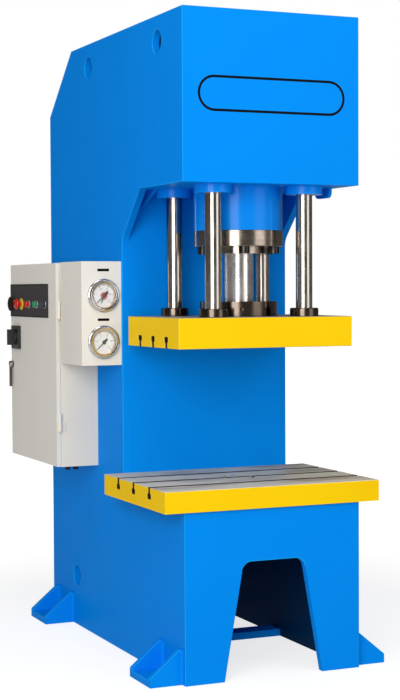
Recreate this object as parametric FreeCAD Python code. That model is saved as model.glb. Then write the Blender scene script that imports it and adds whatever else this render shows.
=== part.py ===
import FreeCAD, Part
import math
import os

# Hydraulic press with a C-shaped frame, a guided platen and a T-slotted table.
# Millimetres. X runs to the right, Y from front to rear, Z up.
# The origin lies on the floor, at the centre of the four anchor holes.

# ---------------------------------------------------------------- overall frame
frame_width = 630.0
frame_height = 2150.0
side_depth = 1317.0
side_thickness = 25.0
plate_thickness = 25.0
throat_depth = 541.0
bed_height = 555.0
head_underside = 1600.0
cheek_drop = 165.0
cheek_reach = 171.0
cheek_bend_radius = 60.0
head_bottom_thickness = 40.0
head_top_thickness = 20.0
rear_slope_run = 257.0
rear_corner_drop = 220.0
slope_thickness = 12.0
column_plate_foot = 400.0

# Holes through the side plates, for a lifting bar.
lifting_hole_diameter = 76.0
lifting_hole_drop = 85.0
front_lifting_hole = 212.0
rear_lifting_hole_setback = 184.0
low_hole_from_rear = 279.0
low_hole_height = 186.0

# Opening in the bed's front plate, narrower at the top.
cutout_foot_width = 354.0
cutout_top_width = 218.0
cutout_height = 383.0
cutout_corner_radius = 36.0

tie_width = 80.0
tie_thickness = 25.0
rear_tie_from_rear = 137.0
throat_rib_length = 135.0
throat_rib_height = 60.0
throat_rib_thickness = 12.0
throat_rib_clearance = 21.0
lug_length = 100.0
lug_drop = 33.0
lug_thickness = 12.0
lug_corner_radius = 20.0
lug_from_front = 140.0

# Rear covers.
upper_cover_thickness = 8.0
lower_cover_thickness = 3.0
cover_edge_inset = 5.0
cover_joint_drop = 640.0
cover_gap = 4.0
lower_cover_foot = 60.0
cover_screw_rows = 4
cover_screw_radius = 4.0
cover_screw_head_radius = 7.0
cover_screw_head_height = 5.0
cover_screw_length = 20.0
cover_screw_edge = 40.0

# ---------------------------------------------------------------- feet
anchor_offset = 60.0
front_anchor_setback = 115.0
rear_anchor_setback = 142.0
foot_length = 180.0
foot_reach = 110.0
foot_thickness = 22.0
foot_height = 115.0
gusset_thickness = 20.0
gusset_toe = 8.0
anchor_hole_diameter = 22.0

# ---------------------------------------------------------------- table and platen
axis_setback = 266.0
table_width = 770.0
table_depth = 550.0
table_thickness = 70.0
table_overhang = 10.0
table_slot_pitch = 140.0
platen_margin_x = 147.5
platen_margin_y = 59.5
platen_thickness = 100.0
platen_drop = 530.0
platen_slot_pitch = 115.0
slot_count = 3
slot_width = 18.0
slot_neck = 19.0
slot_head_width = 32.0
slot_head_height = 19.0
slot_head_radius = 7.0
table_bore_diameter = 100.0
plug_rim_width = 5.0
plug_rim_depth = 12.0
plug_hole_diameter = 16.0
table_bolt_spread_x = 400.0
table_bolt_spread_y = 340.0
table_bolt_radius = 10.0
table_bolt_reach = 26.0
table_bolt_head_height = 13.0
table_bolt_head_flats = 30.0
knock_out_diameter = 40.0

# ---------------------------------------------------------------- cylinder and ram
bore_diameter = 200.0
barrel_wall = 50.0
barrel_drop = 144.0
barrel_cap = 30.0
barrel_flange_width = 37.0
barrel_flange_thickness = 40.0
barrel_seat_gap = 0.5
port_diameter = 20.0
gland_thickness = 53.0
gland_ring_diameter = 195.0
gland_ring_thickness = 23.0
gland_spigot = 25.0
ram_diameter = 100.0
ram_spigot = 40.0
piston_thickness = 70.0
stroke_up = 90.0
closed_daylight = 105.0
piston_end_gap = 6.0
piston_top_gap = 2.0
running_gap = 0.05
thread_gap = 0.05
clearance_hole_gap = 0.5
big_screw_radius = 12.0
big_screw_head_radius = 18.0
big_screw_head_height = 24.0
big_screw_thread = 40.0
big_screw_socket_flats = 19.0
big_screw_socket_depth = 12.0
gland_screw_offset = 28.0
gland_screw_count = 6
gland_screw_turn = 14.0
flange_screw_offset = 19.0
flange_screw_count = 8
ram_flange_diameter = 260.0
ram_flange_thickness = 50.0
ram_screw_circle = 190.0
ram_screw_count = 6
ram_screw_radius = 10.0
ram_screw_head_radius = 15.0
ram_screw_head_height = 20.0
ram_screw_thread = 36.0
ram_screw_sink = 22.0
spanner_hole_count = 8
spanner_hole_turn = 24.5
spanner_hole_diameter = 14.0
spanner_hole_depth = 18.0

# ---------------------------------------------------------------- guide rods
rod_diameter = 55.0
rod_inset_x = 44.0
rod_inset_y = 48.0
rod_socket_depth = 50.0
rod_top_gap = 15.0
rod_chamfer = 3.0
guide_flange_diameter = 122.0
guide_flange_thickness = 28.0
guide_spigot_diameter = 90.0
bush_diameter = 70.0
bush_shoulder = 4.0
collar_diameter = 95.0
collar_height = 28.0
collar_chamfer = 3.0
stop_ring_diameter = 80.0
stop_ring_height = 25.0

# ---------------------------------------------------------------- power unit
shelf_height = 600.0
shelf_thickness = 15.0
shelf_rear_room = 131.0
tank_width = 440.0
tank_rear_room = 211.0
tank_height = 380.0
tank_wall = 4.0
tank_setback = 120.0
lid_thickness = 8.0
lid_overhang = 5.0
motor_radius = 110.0
motor_length = 290.0
motor_wall = 15.0
motor_axis_height = 150.0
motor_foot_width = 160.0
motor_foot_thickness = 20.0
motor_centre_x = -30.0
fan_gap = 6.0
fan_thickness = 14.0
fan_blade_count = 6
air_hole_count = 8
air_hole_circle = 132.0
shaft_radius = 14.0
rotor_radius = 85.0
rotor_length = 170.0
pump_radius = 58.0
pump_length = 120.0
pump_shaft_depth = 40.0
block_width = 120.0
block_depth = 90.0
block_height = 90.0
block_edge = 20.0
valve_width = 46.0
valve_length = 82.0
valve_height = 60.0
valve_gap = 12.0
pipe_radius = 11.0
pipe_bend = 28.0
pipe_lane = 80.0
pump_pipe_reach = 39.0
upper_port_rise = 32.0
lower_port_rise = 70.0

# ---------------------------------------------------------------- cabinet
cabinet_front = 795.0
cabinet_length = 550.0
cabinet_foot = 627.0
cabinet_height = 731.0
cabinet_depth = 156.0
sheet = 2.0
lip_width = 14.0
door_depth = 15.0
door_gap = 1.0
hinge_height = 64.0
hinge_radius = 7.0
hinge_pin_radius = 3.0
hinge_stand_off = 9.0
hinge_inset = 8.0
hinge_leaf_thickness = 3.0
hinge_leaf_width = 26.0
hinge_low_rise = 128.0
hinge_high_drop = 201.0
gear_plate_thickness = 3.0
gear_plate_gap = 12.0
gear_plate_margin = 45.0
gear_boss_radius = 8.0
rail_heights = (150.0, 330.0, 500.0)
gear_depth = 58.0
gear_height = 80.0
gear_width = 44.0
gear_pitch = 62.0
gear_count = 6
gland_nut_radius = 9.5
gland_neck_radius = 6.0
gland_length = 18.0
gland_pitch = 31.0
gland_setback = 70.0

# Control panel on the door and what it carries.
panel_front_margin = 86.0
panel_height = 123.0
panel_thickness = 3.0
panel_from_rear = 4.0
panel_top_drop = 75.0
device_margin = 40.0
device_offset = -10.0
device_rise = 48.0
device_body_radius = 11.0
device_bezel_radius = 15.0
device_bezel_height = 3.0
device_block_length = 40.0
device_block_width = 30.0
stop_collar_radius = 22.0
device_stem_radius = 7.0
palm_radius = 28.0
palm_height = 16.0
palm_travel = 4.0
mushroom_radius = 20.0
mushroom_height = 12.0
mushroom_stem = 14.0
button_radius = 12.5
button_height = 8.0
button_gap = 5.0
selector_radius = 13.0
selector_height = 6.0
selector_grip_height = 14.0
selector_grip_width = 7.0
isolator_size = 88.0
isolator_thickness = 12.0
isolator_from_rear = 82.0
isolator_drop = 277.0
isolator_knob_radius = 30.0
isolator_knob_base = 8.0
isolator_grip_width = 14.0
isolator_knob_height = 28.0
handle_from_rear = 20.0
handle_pivot_rise = 348.0
handle_head_radius = 13.0
handle_head_height = 14.0
handle_length = 86.0
handle_width = 16.0
handle_thickness = 6.0
handle_shaft_radius = 6.0
cam_length = 30.0
cam_thickness = 3.0

# ---------------------------------------------------------------- gauge box
gauge_box_depth = 146.0
gauge_box_length = 225.0
gauge_box_foot = 1000.0
gauge_box_height = 359.0
gauge_box_front = 547.0
gauge_bezel_radius = 58.0
gauge_bezel_height = 14.0
gauge_case_radius = 49.0
gauge_case_depth = 60.0
gauge_window_radius = 51.0
gauge_floor = 3.0
gauge_glass = 2.0
gauge_glass_inset = 1.5
gauge_dial_thickness = 1.0
gauge_stand_off = 67.0
gauge_rises = (241.0, 80.0)
pointer_thickness = 0.8
pointer_lift = 1.5
pointer_step = 1.7
pointer_rest = -135.0
red_pointer_angle = 70.0
green_pointer_angle = -60.0
pointer_length = 38.0
pointer_tail = 12.0
pointer_width = 3.0
pointer_hub_radius = 5.0
pointer_shaft_radius = 1.5
gauge_stem_radius = 9.0
gauge_stem_length = 30.0

# ---------------------------------------------------------------- worked out
half_width = frame_width / 2
inner_half = half_width - side_thickness
anchor_pitch_x = frame_width + 2 * anchor_offset
anchor_pitch_y = side_depth - front_anchor_setback - rear_anchor_setback
front_y = -anchor_pitch_y / 2 - front_anchor_setback
rear_y = front_y + side_depth
column_y = front_y + throat_depth
column_rear_y = column_y + plate_thickness
axis_y = front_y + axis_setback
top_depth = side_depth - rear_slope_run
rear_corner_height = frame_height - rear_corner_drop
rear_lifting_hole = top_depth - rear_lifting_hole_setback
low_hole_depth = side_depth - low_hole_from_rear
cover_joint_height = frame_height - cover_joint_drop
cheek_foot = head_underside - cheek_drop
table_top = bed_height + table_thickness
platen_underside = head_underside - platen_drop
platen_top = platen_underside + platen_thickness
stroke_down = platen_underside - table_top - closed_daylight
slot_depth = slot_neck + slot_head_height
head_floor = head_underside + head_bottom_thickness
head_ceiling = frame_height - head_top_thickness
ram_flange_top = platen_top + ram_flange_thickness
rod_top = head_ceiling - stroke_up - rod_top_gap
rod_foot = platen_top - rod_socket_depth
barrel_diameter = bore_diameter + 2 * barrel_wall
barrel_underside = head_underside - barrel_drop
barrel_flange_diameter = barrel_diameter + 2 * barrel_flange_width
rod_pitch_x = barrel_flange_diameter - rod_inset_x
rod_pitch_y = barrel_flange_diameter - rod_inset_y
throat_rib_inset = inner_half - rod_pitch_x / 2 - guide_flange_diameter / 2 - throat_rib_clearance
platen_width = rod_pitch_x + 2 * platen_margin_x
platen_depth = rod_pitch_y + 2 * platen_margin_y
flange_screw_circle = barrel_diameter + 2 * flange_screw_offset
gland_screw_circle = bore_diameter + 2 * gland_screw_offset
piston_foot = barrel_underside + gland_spigot + stroke_down + piston_end_gap
barrel_top = piston_foot + piston_thickness + stroke_up + piston_top_gap + barrel_cap
door_outer_x = -half_width - cabinet_depth
door_inner_x = door_outer_x + door_depth
cabinet_y0 = front_y + cabinet_front
cabinet_y1 = cabinet_y0 + cabinet_length
cabinet_top = cabinet_foot + cabinet_height
hinge_x = door_outer_x + hinge_inset
hinge_low_height = cabinet_foot + hinge_low_rise
hinge_high_height = cabinet_top - hinge_high_drop
hinge_y = cabinet_y0 - hinge_stand_off
panel_face_x = door_outer_x - panel_thickness
panel_y1 = cabinet_y1 - panel_from_rear
panel_y0 = cabinet_y0 + panel_front_margin
panel_length = panel_y1 - panel_y0
panel_foot = cabinet_top - panel_top_drop - panel_height
device_pitch = (panel_length - 2 * device_margin) / 4
device_height = panel_foot + device_rise
device_ys = [(panel_y0 + panel_y1) / 2 + device_offset + step * device_pitch for step in (2, 1, 0, -1, -2)]
palm_y, emergency_y, stop_y, start_y, selector_y = device_ys
isolator_y = cabinet_y1 - isolator_from_rear
isolator_height = cabinet_top - isolator_drop
handle_y = cabinet_y1 - handle_from_rear
handle_pivot_height = cabinet_foot + handle_pivot_rise
gauge_y0 = front_y + gauge_box_front
gauge_face_y = gauge_y0 - gauge_bezel_height
gauge_offset = -half_width - gauge_stand_off
gauge_heights = [gauge_box_foot + rise for rise in gauge_rises]
motor_z = shelf_height + shelf_thickness + tank_height + lid_thickness + motor_axis_height
tank_y0 = column_rear_y + tank_setback
tank_depth = rear_y - tank_y0 - tank_rear_room
shelf_depth = rear_y - column_rear_y - shelf_rear_room
motor_y = tank_y0 + tank_depth / 2 + block_depth / 2
rod_centres = [(sx * rod_pitch_x / 2, axis_y + sy * rod_pitch_y / 2) for sy in (-1, 1) for sx in (-1, 1)]


# ---------------------------------------------------------------- helpers
def box(x0, x1, y0, y1, z0, z1):
    """A box between two corners."""
    return Part.makeBox(x1 - x0, y1 - y0, z1 - z0, FreeCAD.Vector(x0, y0, z0))


def rod(radius, start, end):
    """A round bar from one point to another."""
    a = FreeCAD.Vector(*start)
    run = FreeCAD.Vector(*end) - a
    return Part.makeCylinder(radius, run.Length, a, run)


def upright(radius, x, y, z0, z1):
    """A round bar that stands along Z."""
    return rod(radius, (x, y, z0), (x, y, z1))


def prism_x(outline, x0, x1):
    """An outline of (y, z) points pushed from x0 to x1."""
    points = [FreeCAD.Vector(x0, y, z) for y, z in outline]
    face = Part.Face(Part.makePolygon(points + points[:1]))
    return face.extrude(FreeCAD.Vector(x1 - x0, 0, 0))


def prism_y(outline, y0, y1):
    """An outline of (x, z) points pushed from y0 to y1."""
    points = [FreeCAD.Vector(x, y0, z) for x, z in outline]
    face = Part.Face(Part.makePolygon(points + points[:1]))
    return face.extrude(FreeCAD.Vector(0, y1 - y0, 0))


def prism_z(outline, z0, z1):
    """An outline of (x, y) points pushed from z0 to z1."""
    points = [FreeCAD.Vector(x, y, z0) for x, y in outline]
    face = Part.Face(Part.makePolygon(points + points[:1]))
    return face.extrude(FreeCAD.Vector(0, 0, z1 - z0))


def hexagon(flats, x, y):
    """The six corners of a hexagon with this size across its flats."""
    reach = flats / 2 / math.cos(math.pi / 6)
    return [
        (x + reach * math.cos(k * math.pi / 3), y + reach * math.sin(k * math.pi / 3)) for k in range(6)
    ]


def ring_places(count, circle, turn=0.0):
    """Points spread evenly round the press axis."""
    angles = [turn + 2 * math.pi * k / count for k in range(count)]
    return [(circle / 2 * math.cos(a), axis_y + circle / 2 * math.sin(a)) for a in angles]


def edges_where(shape, test):
    """The edges of a shape whose two ends pass a test."""
    return [e for e in shape.Edges if all(test(v.Point) for v in e.Vertexes)]


def near(a, b):
    return abs(a - b) < 1e-3


def tee_slots(width, pitch, z_face, into):
    """Cutters for T-slots along X; into is -1 from a top face and +1 from an underside."""
    cutters = []
    for k in range(slot_count):
        y = axis_y + (k - (slot_count - 1) / 2) * pitch
        neck_end = z_face + into * (slot_neck + slot_head_height / 2)
        low, high = sorted((z_face - into, neck_end))
        neck = box(-width, width, y - slot_width / 2, y + slot_width / 2, low, high)
        low, high = sorted((z_face + into * slot_neck, z_face + into * slot_depth))
        head = box(-width, width, y - slot_head_width / 2, y + slot_head_width / 2, low, high)
        long_edges = [e for e in head.Edges if near(e.Length, 2 * width)]
        cutters.append(neck.fuse(head.makeFillet(slot_head_radius, long_edges)))
    return cutters


def cut_all(shape, cutters):
    for cutter in cutters:
        shape = shape.cut(cutter)
    return shape


def socket_screw(x, y, head_face, head_radius, head_height, radius, length, heads_down):
    """A socket-head screw whose head starts at head_face and whose thread runs the other way."""
    out = -1 if heads_down else 1
    head_end = head_face + out * head_height
    head = rod(head_radius, (x, y, head_face), (x, y, head_end))
    shank = rod(radius, (x, y, head_face), (x, y, head_face - out * length))
    flats = big_screw_socket_flats * head_radius / big_screw_head_radius
    depth = big_screw_socket_depth * head_height / big_screw_head_height
    low, high = sorted((head_end, head_end - out * depth))
    return head.fuse(shank).cut(prism_z(hexagon(flats, x, y), low, high))


def bent_pipe(points, radius, bend):
    """A solid bar along straight runs joined by tangent arcs."""
    corners = [FreeCAD.Vector(*p) for p in points]
    edges = []
    start = corners[0]
    for before, corner, after in zip(corners, corners[1:], corners[2:]):
        way_in = (corner - before).normalize()
        way_out = (after - corner).normalize()
        half_turn = way_in.getAngle(way_out) / 2
        reach = bend * math.tan(half_turn)
        arc_start = corner - way_in * reach
        arc_end = corner + way_out * reach
        to_centre = (way_out - way_in).normalize()
        middle = corner + to_centre * (bend / math.cos(half_turn) - bend)
        edges.append(Part.makeLine(start, arc_start))
        edges.append(Part.Arc(arc_start, middle, arc_end).toShape())
        start = arc_end
    edges.append(Part.makeLine(start, corners[-1]))
    path = Part.Wire(edges)
    circle = Part.Wire(Part.makeCircle(radius, corners[0], corners[1] - corners[0]))
    return path.makePipeShell([circle], True, True)


def save(name, pieces):
    """Writes one node: a single piece, or a group of separate pieces."""
    if not isinstance(pieces, list):
        pieces = [pieces]
    solids = []
    for piece in pieces:
        solids.extend(piece.removeSplitter().Solids)
    shape = solids[0] if len(solids) == 1 else Part.makeCompound(solids)
    shape.exportStep(os.path.join("parts", name + ".step"))


# ---------------------------------------------------------------- frame plates
def side_plate(sign):
    """One C-shaped side plate with its cheek, sloping rear corner and lifting holes."""
    outline = [
        (front_y, 0),
        (front_y, bed_height),
        (column_y, bed_height),
        (column_y, cheek_foot),
        (column_y - cheek_reach, head_underside),
        (front_y, head_underside),
        (front_y, frame_height),
        (front_y + top_depth, frame_height),
        (rear_y, rear_corner_height),
        (rear_y, 0),
    ]
    x0, x1 = sorted((sign * inner_half, sign * half_width))
    plate = prism_x(outline, x0, x1)
    bend = edges_where(plate, lambda p: near(p.y, column_y) and near(p.z, cheek_foot))
    plate = plate.makeFillet(cheek_bend_radius, bend)
    for depth, height in hole_places():
        plate = plate.cut(rod(lifting_hole_diameter / 2, (x0 - 1, depth, height), (x1 + 1, depth, height)))
    return plate


def hole_places():
    """The (y, z) centres of the three holes through each side plate."""
    high = frame_height - lifting_hole_drop
    return [
        (front_y + front_lifting_hole, high),
        (front_y + rear_lifting_hole, high),
        (front_y + low_hole_depth, low_hole_height),
    ]


def head_front_plate():
    return box(-inner_half, inner_half, front_y, front_y + plate_thickness, head_underside, frame_height)


def head_bottom_plate():
    """The thick floor of the head, bored for the cylinder and the four rod guides."""
    y0 = front_y + plate_thickness
    plate = box(-inner_half, inner_half, y0, column_rear_y, head_underside, head_floor)
    plate = plate.cut(
        upright(barrel_diameter / 2 + barrel_seat_gap, 0, axis_y, head_underside - 1, head_floor + 1)
    )
    for x, y in ring_places(flange_screw_count, flange_screw_circle, math.pi / flange_screw_count):
        plate = plate.cut(upright(big_screw_radius + thread_gap, x, y, head_underside - 1, head_floor + 1))
    for x, y in rod_centres:
        bore = guide_spigot_diameter / 2 + thread_gap
        plate = plate.cut(upright(bore, x, y, head_underside - 1, head_floor + 1))
    return plate


def head_top_plate():
    y0 = front_y + plate_thickness
    return box(-inner_half, inner_half, y0, front_y + top_depth, head_ceiling, frame_height)


def rear_slope_plate():
    """The plate that closes the sloping rear corner of the head."""
    top_y = front_y + top_depth
    run = rear_y - top_y
    drop = frame_height - rear_corner_height
    length = math.hypot(run, drop)
    across = (slope_thickness * drop / length, slope_thickness * run / length)
    outline = [
        (top_y, frame_height),
        (rear_y, rear_corner_height),
        (rear_y - across[0], rear_corner_height - across[1]),
        (top_y - across[0], frame_height - across[1]),
    ]
    blank = prism_x(outline, -inner_half, inner_half)
    return blank.cut(head_top_plate())


def column_front_plate():
    return box(-inner_half, inner_half, column_y, column_rear_y, column_plate_foot, head_underside)


def bed_front_plate():
    """The bed's front plate, with its opening that narrows upwards."""
    plate = box(-inner_half, inner_half, front_y, front_y + plate_thickness, 0, bed_height)
    below = 10.0
    lean = (cutout_foot_width - cutout_top_width) / 2 / cutout_height
    foot = cutout_foot_width / 2 + below * lean
    top = cutout_top_width / 2
    outline = [(-foot, -below), (-top, cutout_height), (top, cutout_height), (foot, -below)]
    cutter = prism_y(outline, front_y - 1, front_y + plate_thickness + 1)
    corners = edges_where(cutter, lambda p: near(p.z, cutout_height) and near(abs(p.x), top))
    corners = [e for e in corners if near(e.Length, plate_thickness + 2)]
    return plate.cut(cutter.makeFillet(cutout_corner_radius, corners))


def bed_top_plate():
    """The plate under the table, drilled for its bolts and for a knock-out bar on the press axis."""
    y0 = front_y + plate_thickness
    plate = box(-inner_half, inner_half, y0, column_y, bed_height - plate_thickness, bed_height)
    for x, y in table_bolt_places():
        plate = plate.cut(upright(table_bolt_radius + thread_gap, x, y, 0, bed_height + 1))
    return plate.cut(upright(knock_out_diameter / 2, 0, axis_y, 0, bed_height + 1))


def base_ties():
    """Two flat bars on the floor that tie the side plates together."""
    rear_tie_y = rear_y - rear_tie_from_rear
    front_tie = box(-inner_half, inner_half, column_y, column_y + tie_width, 0, tie_thickness)
    rear_tie = box(-inner_half, inner_half, rear_tie_y, rear_tie_y + tie_width, 0, tie_thickness)
    return [front_tie, rear_tie]


def throat_ribs():
    """Two ribs in the corner of the throat and a lug inside the right cheek."""
    outline = [
        (column_y, head_underside),
        (column_y - throat_rib_length, head_underside),
        (column_y, head_underside - throat_rib_height),
    ]
    pieces = []
    for sign in (-1, 1):
        outer = sign * (inner_half - throat_rib_inset)
        x0, x1 = sorted((outer, outer - sign * throat_rib_thickness))
        pieces.append(prism_x(outline, x0, x1))
    lug_y = front_y + lug_from_front
    low = head_underside - lug_drop
    lug = box(inner_half - lug_thickness, inner_half, lug_y, lug_y + lug_length, low, head_underside)
    corners = [e for e in edges_where(lug, lambda p: near(p.z, low)) if near(e.Length, lug_thickness)]
    pieces.append(lug.makeFillet(lug_corner_radius, corners))
    return pieces


def rear_upper_cover():
    half = half_width - cover_edge_inset
    y1 = rear_y + upper_cover_thickness
    cover = box(-half, half, rear_y, y1, cover_joint_height + cover_gap, rear_corner_height)
    return cut_all(cover, cover_screw_holes())


def rear_lower_cover():
    half = half_width - cover_edge_inset
    cover = box(-half, half, rear_y, rear_y + lower_cover_thickness, lower_cover_foot, cover_joint_height)
    return cut_all(cover, cover_screw_holes())


def cover_screw_places():
    """The (x, outer y, z) places of the screws in both rear covers."""
    middle_x = (half_width + inner_half) / 2
    covers = [
        (lower_cover_foot, cover_joint_height, lower_cover_thickness),
        (cover_joint_height + cover_gap, rear_corner_height, upper_cover_thickness),
    ]
    places = []
    for low, high, thickness in covers:
        span = high - low - 2 * cover_screw_edge
        for row in range(cover_screw_rows):
            z = low + cover_screw_edge + span * row / (cover_screw_rows - 1)
            places.extend((sign * middle_x, rear_y + thickness, z) for sign in (-1, 1))
    return places


def cover_screw_holes():
    radius = cover_screw_radius + thread_gap
    return [
        rod(radius, (x, y + 1, z), (x, rear_y - cover_screw_length, z)) for x, y, z in cover_screw_places()
    ]


def cover_screws():
    screws = []
    for x, y, z in cover_screw_places():
        head = rod(cover_screw_head_radius, (x, y, z), (x, y + cover_screw_head_height, z))
        shank = rod(cover_screw_radius, (x, y, z), (x, rear_y - cover_screw_length + thread_gap, z))
        screws.append(head.fuse(shank))
    return screws


def feet():
    """Four foot brackets: a base plate with an anchor hole and two gussets."""
    pieces = []
    for sign in (-1, 1):
        for y_side in (-1, 1):
            centre_y = y_side * anchor_pitch_y / 2
            y0 = centre_y - foot_length / 2
            y1 = centre_y + foot_length / 2
            near_x = sign * half_width
            far_x = sign * (half_width + foot_reach)
            x0, x1 = sorted((near_x, far_x))
            foot = box(x0, x1, y0, y1, 0, foot_thickness)
            outline = [
                (near_x, foot_thickness),
                (near_x, foot_height),
                (near_x + sign * gusset_toe, foot_height),
                (far_x, foot_thickness + gusset_toe),
                (far_x, foot_thickness),
            ]
            for gusset_y in (y0, y1 - gusset_thickness):
                foot = foot.fuse(prism_y(outline, gusset_y, gusset_y + gusset_thickness))
            hole = upright(
                anchor_hole_diameter / 2, sign * anchor_pitch_x / 2, centre_y, -1, foot_thickness + 1
            )
            pieces.append(foot.cut(hole))
    return pieces


# ---------------------------------------------------------------- table
def table_bolt_places():
    spread = [
        (sx * table_bolt_spread_x / 2, sy * table_bolt_spread_y / 2) for sx in (-1, 1) for sy in (-1, 1)
    ]
    return [(x, axis_y + y) for x, y in spread]


def table():
    """The T-slotted table, bored on the press axis for a plug."""
    y0 = front_y - table_overhang
    slab = box(-table_width / 2, table_width / 2, y0, y0 + table_depth, bed_height, table_top)
    slab = cut_all(slab, tee_slots(table_width, table_slot_pitch, table_top, -1))
    slab = slab.cut(upright(table_bore_diameter / 2, 0, axis_y, bed_height - 1, table_top + 1))
    for x, y in table_bolt_places():
        slab = slab.cut(
            upright(table_bolt_radius + thread_gap, x, y, 0, bed_height + table_bolt_reach + thread_gap)
        )
    return slab


def table_plug():
    """The plug in the table's centre bore, with a stepped rim and a small hole."""
    body = table_bore_diameter / 2 - running_gap
    plug = upright(body, 0, axis_y, bed_height, table_top - plug_rim_depth)
    plug = plug.fuse(upright(body - plug_rim_width, 0, axis_y, bed_height, table_top))
    return plug.cut(upright(plug_hole_diameter / 2, 0, axis_y, bed_height - 1, table_top + 1))


def table_bolts():
    bolts = []
    underside = bed_height - plate_thickness
    for x, y in table_bolt_places():
        head = prism_z(hexagon(table_bolt_head_flats, x, y), underside - table_bolt_head_height, underside)
        shank = upright(table_bolt_radius, x, y, underside, bed_height + table_bolt_reach)
        bolts.append(head.fuse(shank))
    return bolts


# ---------------------------------------------------------------- cylinder
def cylinder_barrel():
    """The cylinder with its closed top, mounting flange and two oil ports."""
    barrel = upright(barrel_diameter / 2, 0, axis_y, barrel_underside, barrel_top)
    flange = upright(
        barrel_flange_diameter / 2, 0, axis_y, head_floor, head_floor + barrel_flange_thickness
    )
    barrel = barrel.fuse(flange)
    barrel = barrel.cut(
        upright(bore_diameter / 2, 0, axis_y, barrel_underside - 1, barrel_top - barrel_cap)
    )
    barrel = barrel.cut(upright(port_diameter / 2, 0, axis_y, barrel_top - barrel_cap - 1, barrel_top + 1))
    low_port_z = head_floor + lower_port_rise
    far_y = axis_y + barrel_diameter / 2
    barrel = barrel.cut(
        rod(port_diameter / 2, (0, axis_y + bore_diameter / 4, low_port_z), (0, far_y + 1, low_port_z))
    )
    for x, y in ring_places(gland_screw_count, gland_screw_circle, math.radians(gland_screw_turn)):
        barrel = barrel.cut(
            upright(big_screw_radius + thread_gap, x, y, barrel_underside - 1, gland_thread_end())
        )
    for x, y in ring_places(flange_screw_count, flange_screw_circle, math.pi / flange_screw_count):
        hole = upright(big_screw_radius + clearance_hole_gap, x, y, head_floor - 1, barrel_top)
        barrel = barrel.cut(hole.common(flange))
    return barrel


def gland_thread_end():
    return barrel_underside + big_screw_thread + thread_gap


def cylinder_gland():
    """The steel gland that closes the cylinder's lower end round the ram."""
    foot = barrel_underside - gland_thickness
    gland = upright(barrel_diameter / 2, 0, axis_y, foot, barrel_underside)
    gland = gland.fuse(upright(gland_ring_diameter / 2, 0, axis_y, foot - gland_ring_thickness, foot))
    spigot_top = barrel_underside + gland_spigot
    gland = gland.fuse(upright(bore_diameter / 2 - running_gap, 0, axis_y, barrel_underside, spigot_top))
    bore = ram_diameter / 2 + running_gap
    gland = gland.cut(upright(bore, 0, axis_y, foot - gland_ring_thickness - 1, spigot_top + 1))
    for x, y in ring_places(gland_screw_count, gland_screw_circle, math.radians(gland_screw_turn)):
        gland = gland.cut(upright(big_screw_radius + clearance_hole_gap, x, y, foot - 1, spigot_top))
    return gland


def cylinder_screws():
    """The screws of the gland, heads down, and of the mounting flange, heads up."""
    screws = []
    foot = barrel_underside - gland_thickness
    head = (big_screw_head_radius, big_screw_head_height, big_screw_radius)
    for x, y in ring_places(gland_screw_count, gland_screw_circle, math.radians(gland_screw_turn)):
        screws.append(socket_screw(x, y, foot, *head, gland_thickness + big_screw_thread, True))
    seat = head_floor + barrel_flange_thickness
    for x, y in ring_places(flange_screw_count, flange_screw_circle, math.pi / flange_screw_count):
        length = barrel_flange_thickness + head_bottom_thickness - thread_gap
        screws.append(socket_screw(x, y, seat, *head, length, False))
    return screws


def guide_housings():
    """Four round guide flanges under the head, each with a spigot through its floor."""
    pieces = []
    low = head_underside - guide_flange_thickness
    for x, y in rod_centres:
        piece = upright(guide_flange_diameter / 2, x, y, low, head_underside)
        piece = piece.fuse(upright(guide_spigot_diameter / 2, x, y, head_underside, head_floor))
        piece = piece.cut(upright(bush_diameter / 2 + thread_gap, x, y, low - 1, head_floor + 1))
        pieces.append(piece)
    return pieces


def guide_bushes():
    """Four bronze bushes, with a shoulder above their housings."""
    pieces = []
    low = head_underside - guide_flange_thickness
    for x, y in rod_centres:
        bush = upright(bush_diameter / 2, x, y, low, head_floor)
        bush = bush.fuse(upright(stop_ring_diameter / 2, x, y, head_floor, head_floor + bush_shoulder))
        pieces.append(
            bush.cut(upright(rod_diameter / 2 + running_gap, x, y, low - 1, head_floor + bush_shoulder + 1))
        )
    return pieces


# ---------------------------------------------------------------- ram and platen
def ram():
    """The ram with its piston, and the spigot that enters the platen."""
    bar = upright(ram_diameter / 2, 0, axis_y, platen_top - ram_spigot, piston_foot + piston_thickness)
    piston_radius = bore_diameter / 2 - running_gap
    return bar.fuse(upright(piston_radius, 0, axis_y, piston_foot, piston_foot + piston_thickness))


def ram_flange():
    """The flange that holds the ram to the platen, with spanner holes in its rim."""
    flange = upright(ram_flange_diameter / 2, 0, axis_y, platen_top, ram_flange_top)
    flange = flange.cut(
        upright(ram_diameter / 2 + thread_gap, 0, axis_y, platen_top - 1, ram_flange_top + 1)
    )
    for x, y in ring_places(ram_screw_count, ram_screw_circle):
        flange = flange.cut(
            upright(ram_screw_radius + clearance_hole_gap, x, y, platen_top - 1, ram_flange_top + 1)
        )
        seat = ram_flange_top - ram_screw_sink
        sink = upright(ram_screw_head_radius + clearance_hole_gap, x, y, seat, ram_flange_top + 1)
        flange = flange.cut(sink)
    middle_z = (platen_top + ram_flange_top) / 2
    inner = ram_flange_diameter - 2 * spanner_hole_depth
    turn = math.radians(spanner_hole_turn)
    outer_places = ring_places(spanner_hole_count, ram_flange_diameter + 2, turn)
    for far, close in zip(outer_places, ring_places(spanner_hole_count, inner, turn)):
        flange = flange.cut(rod(spanner_hole_diameter / 2, (*far, middle_z), (*close, middle_z)))
    return flange


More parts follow.
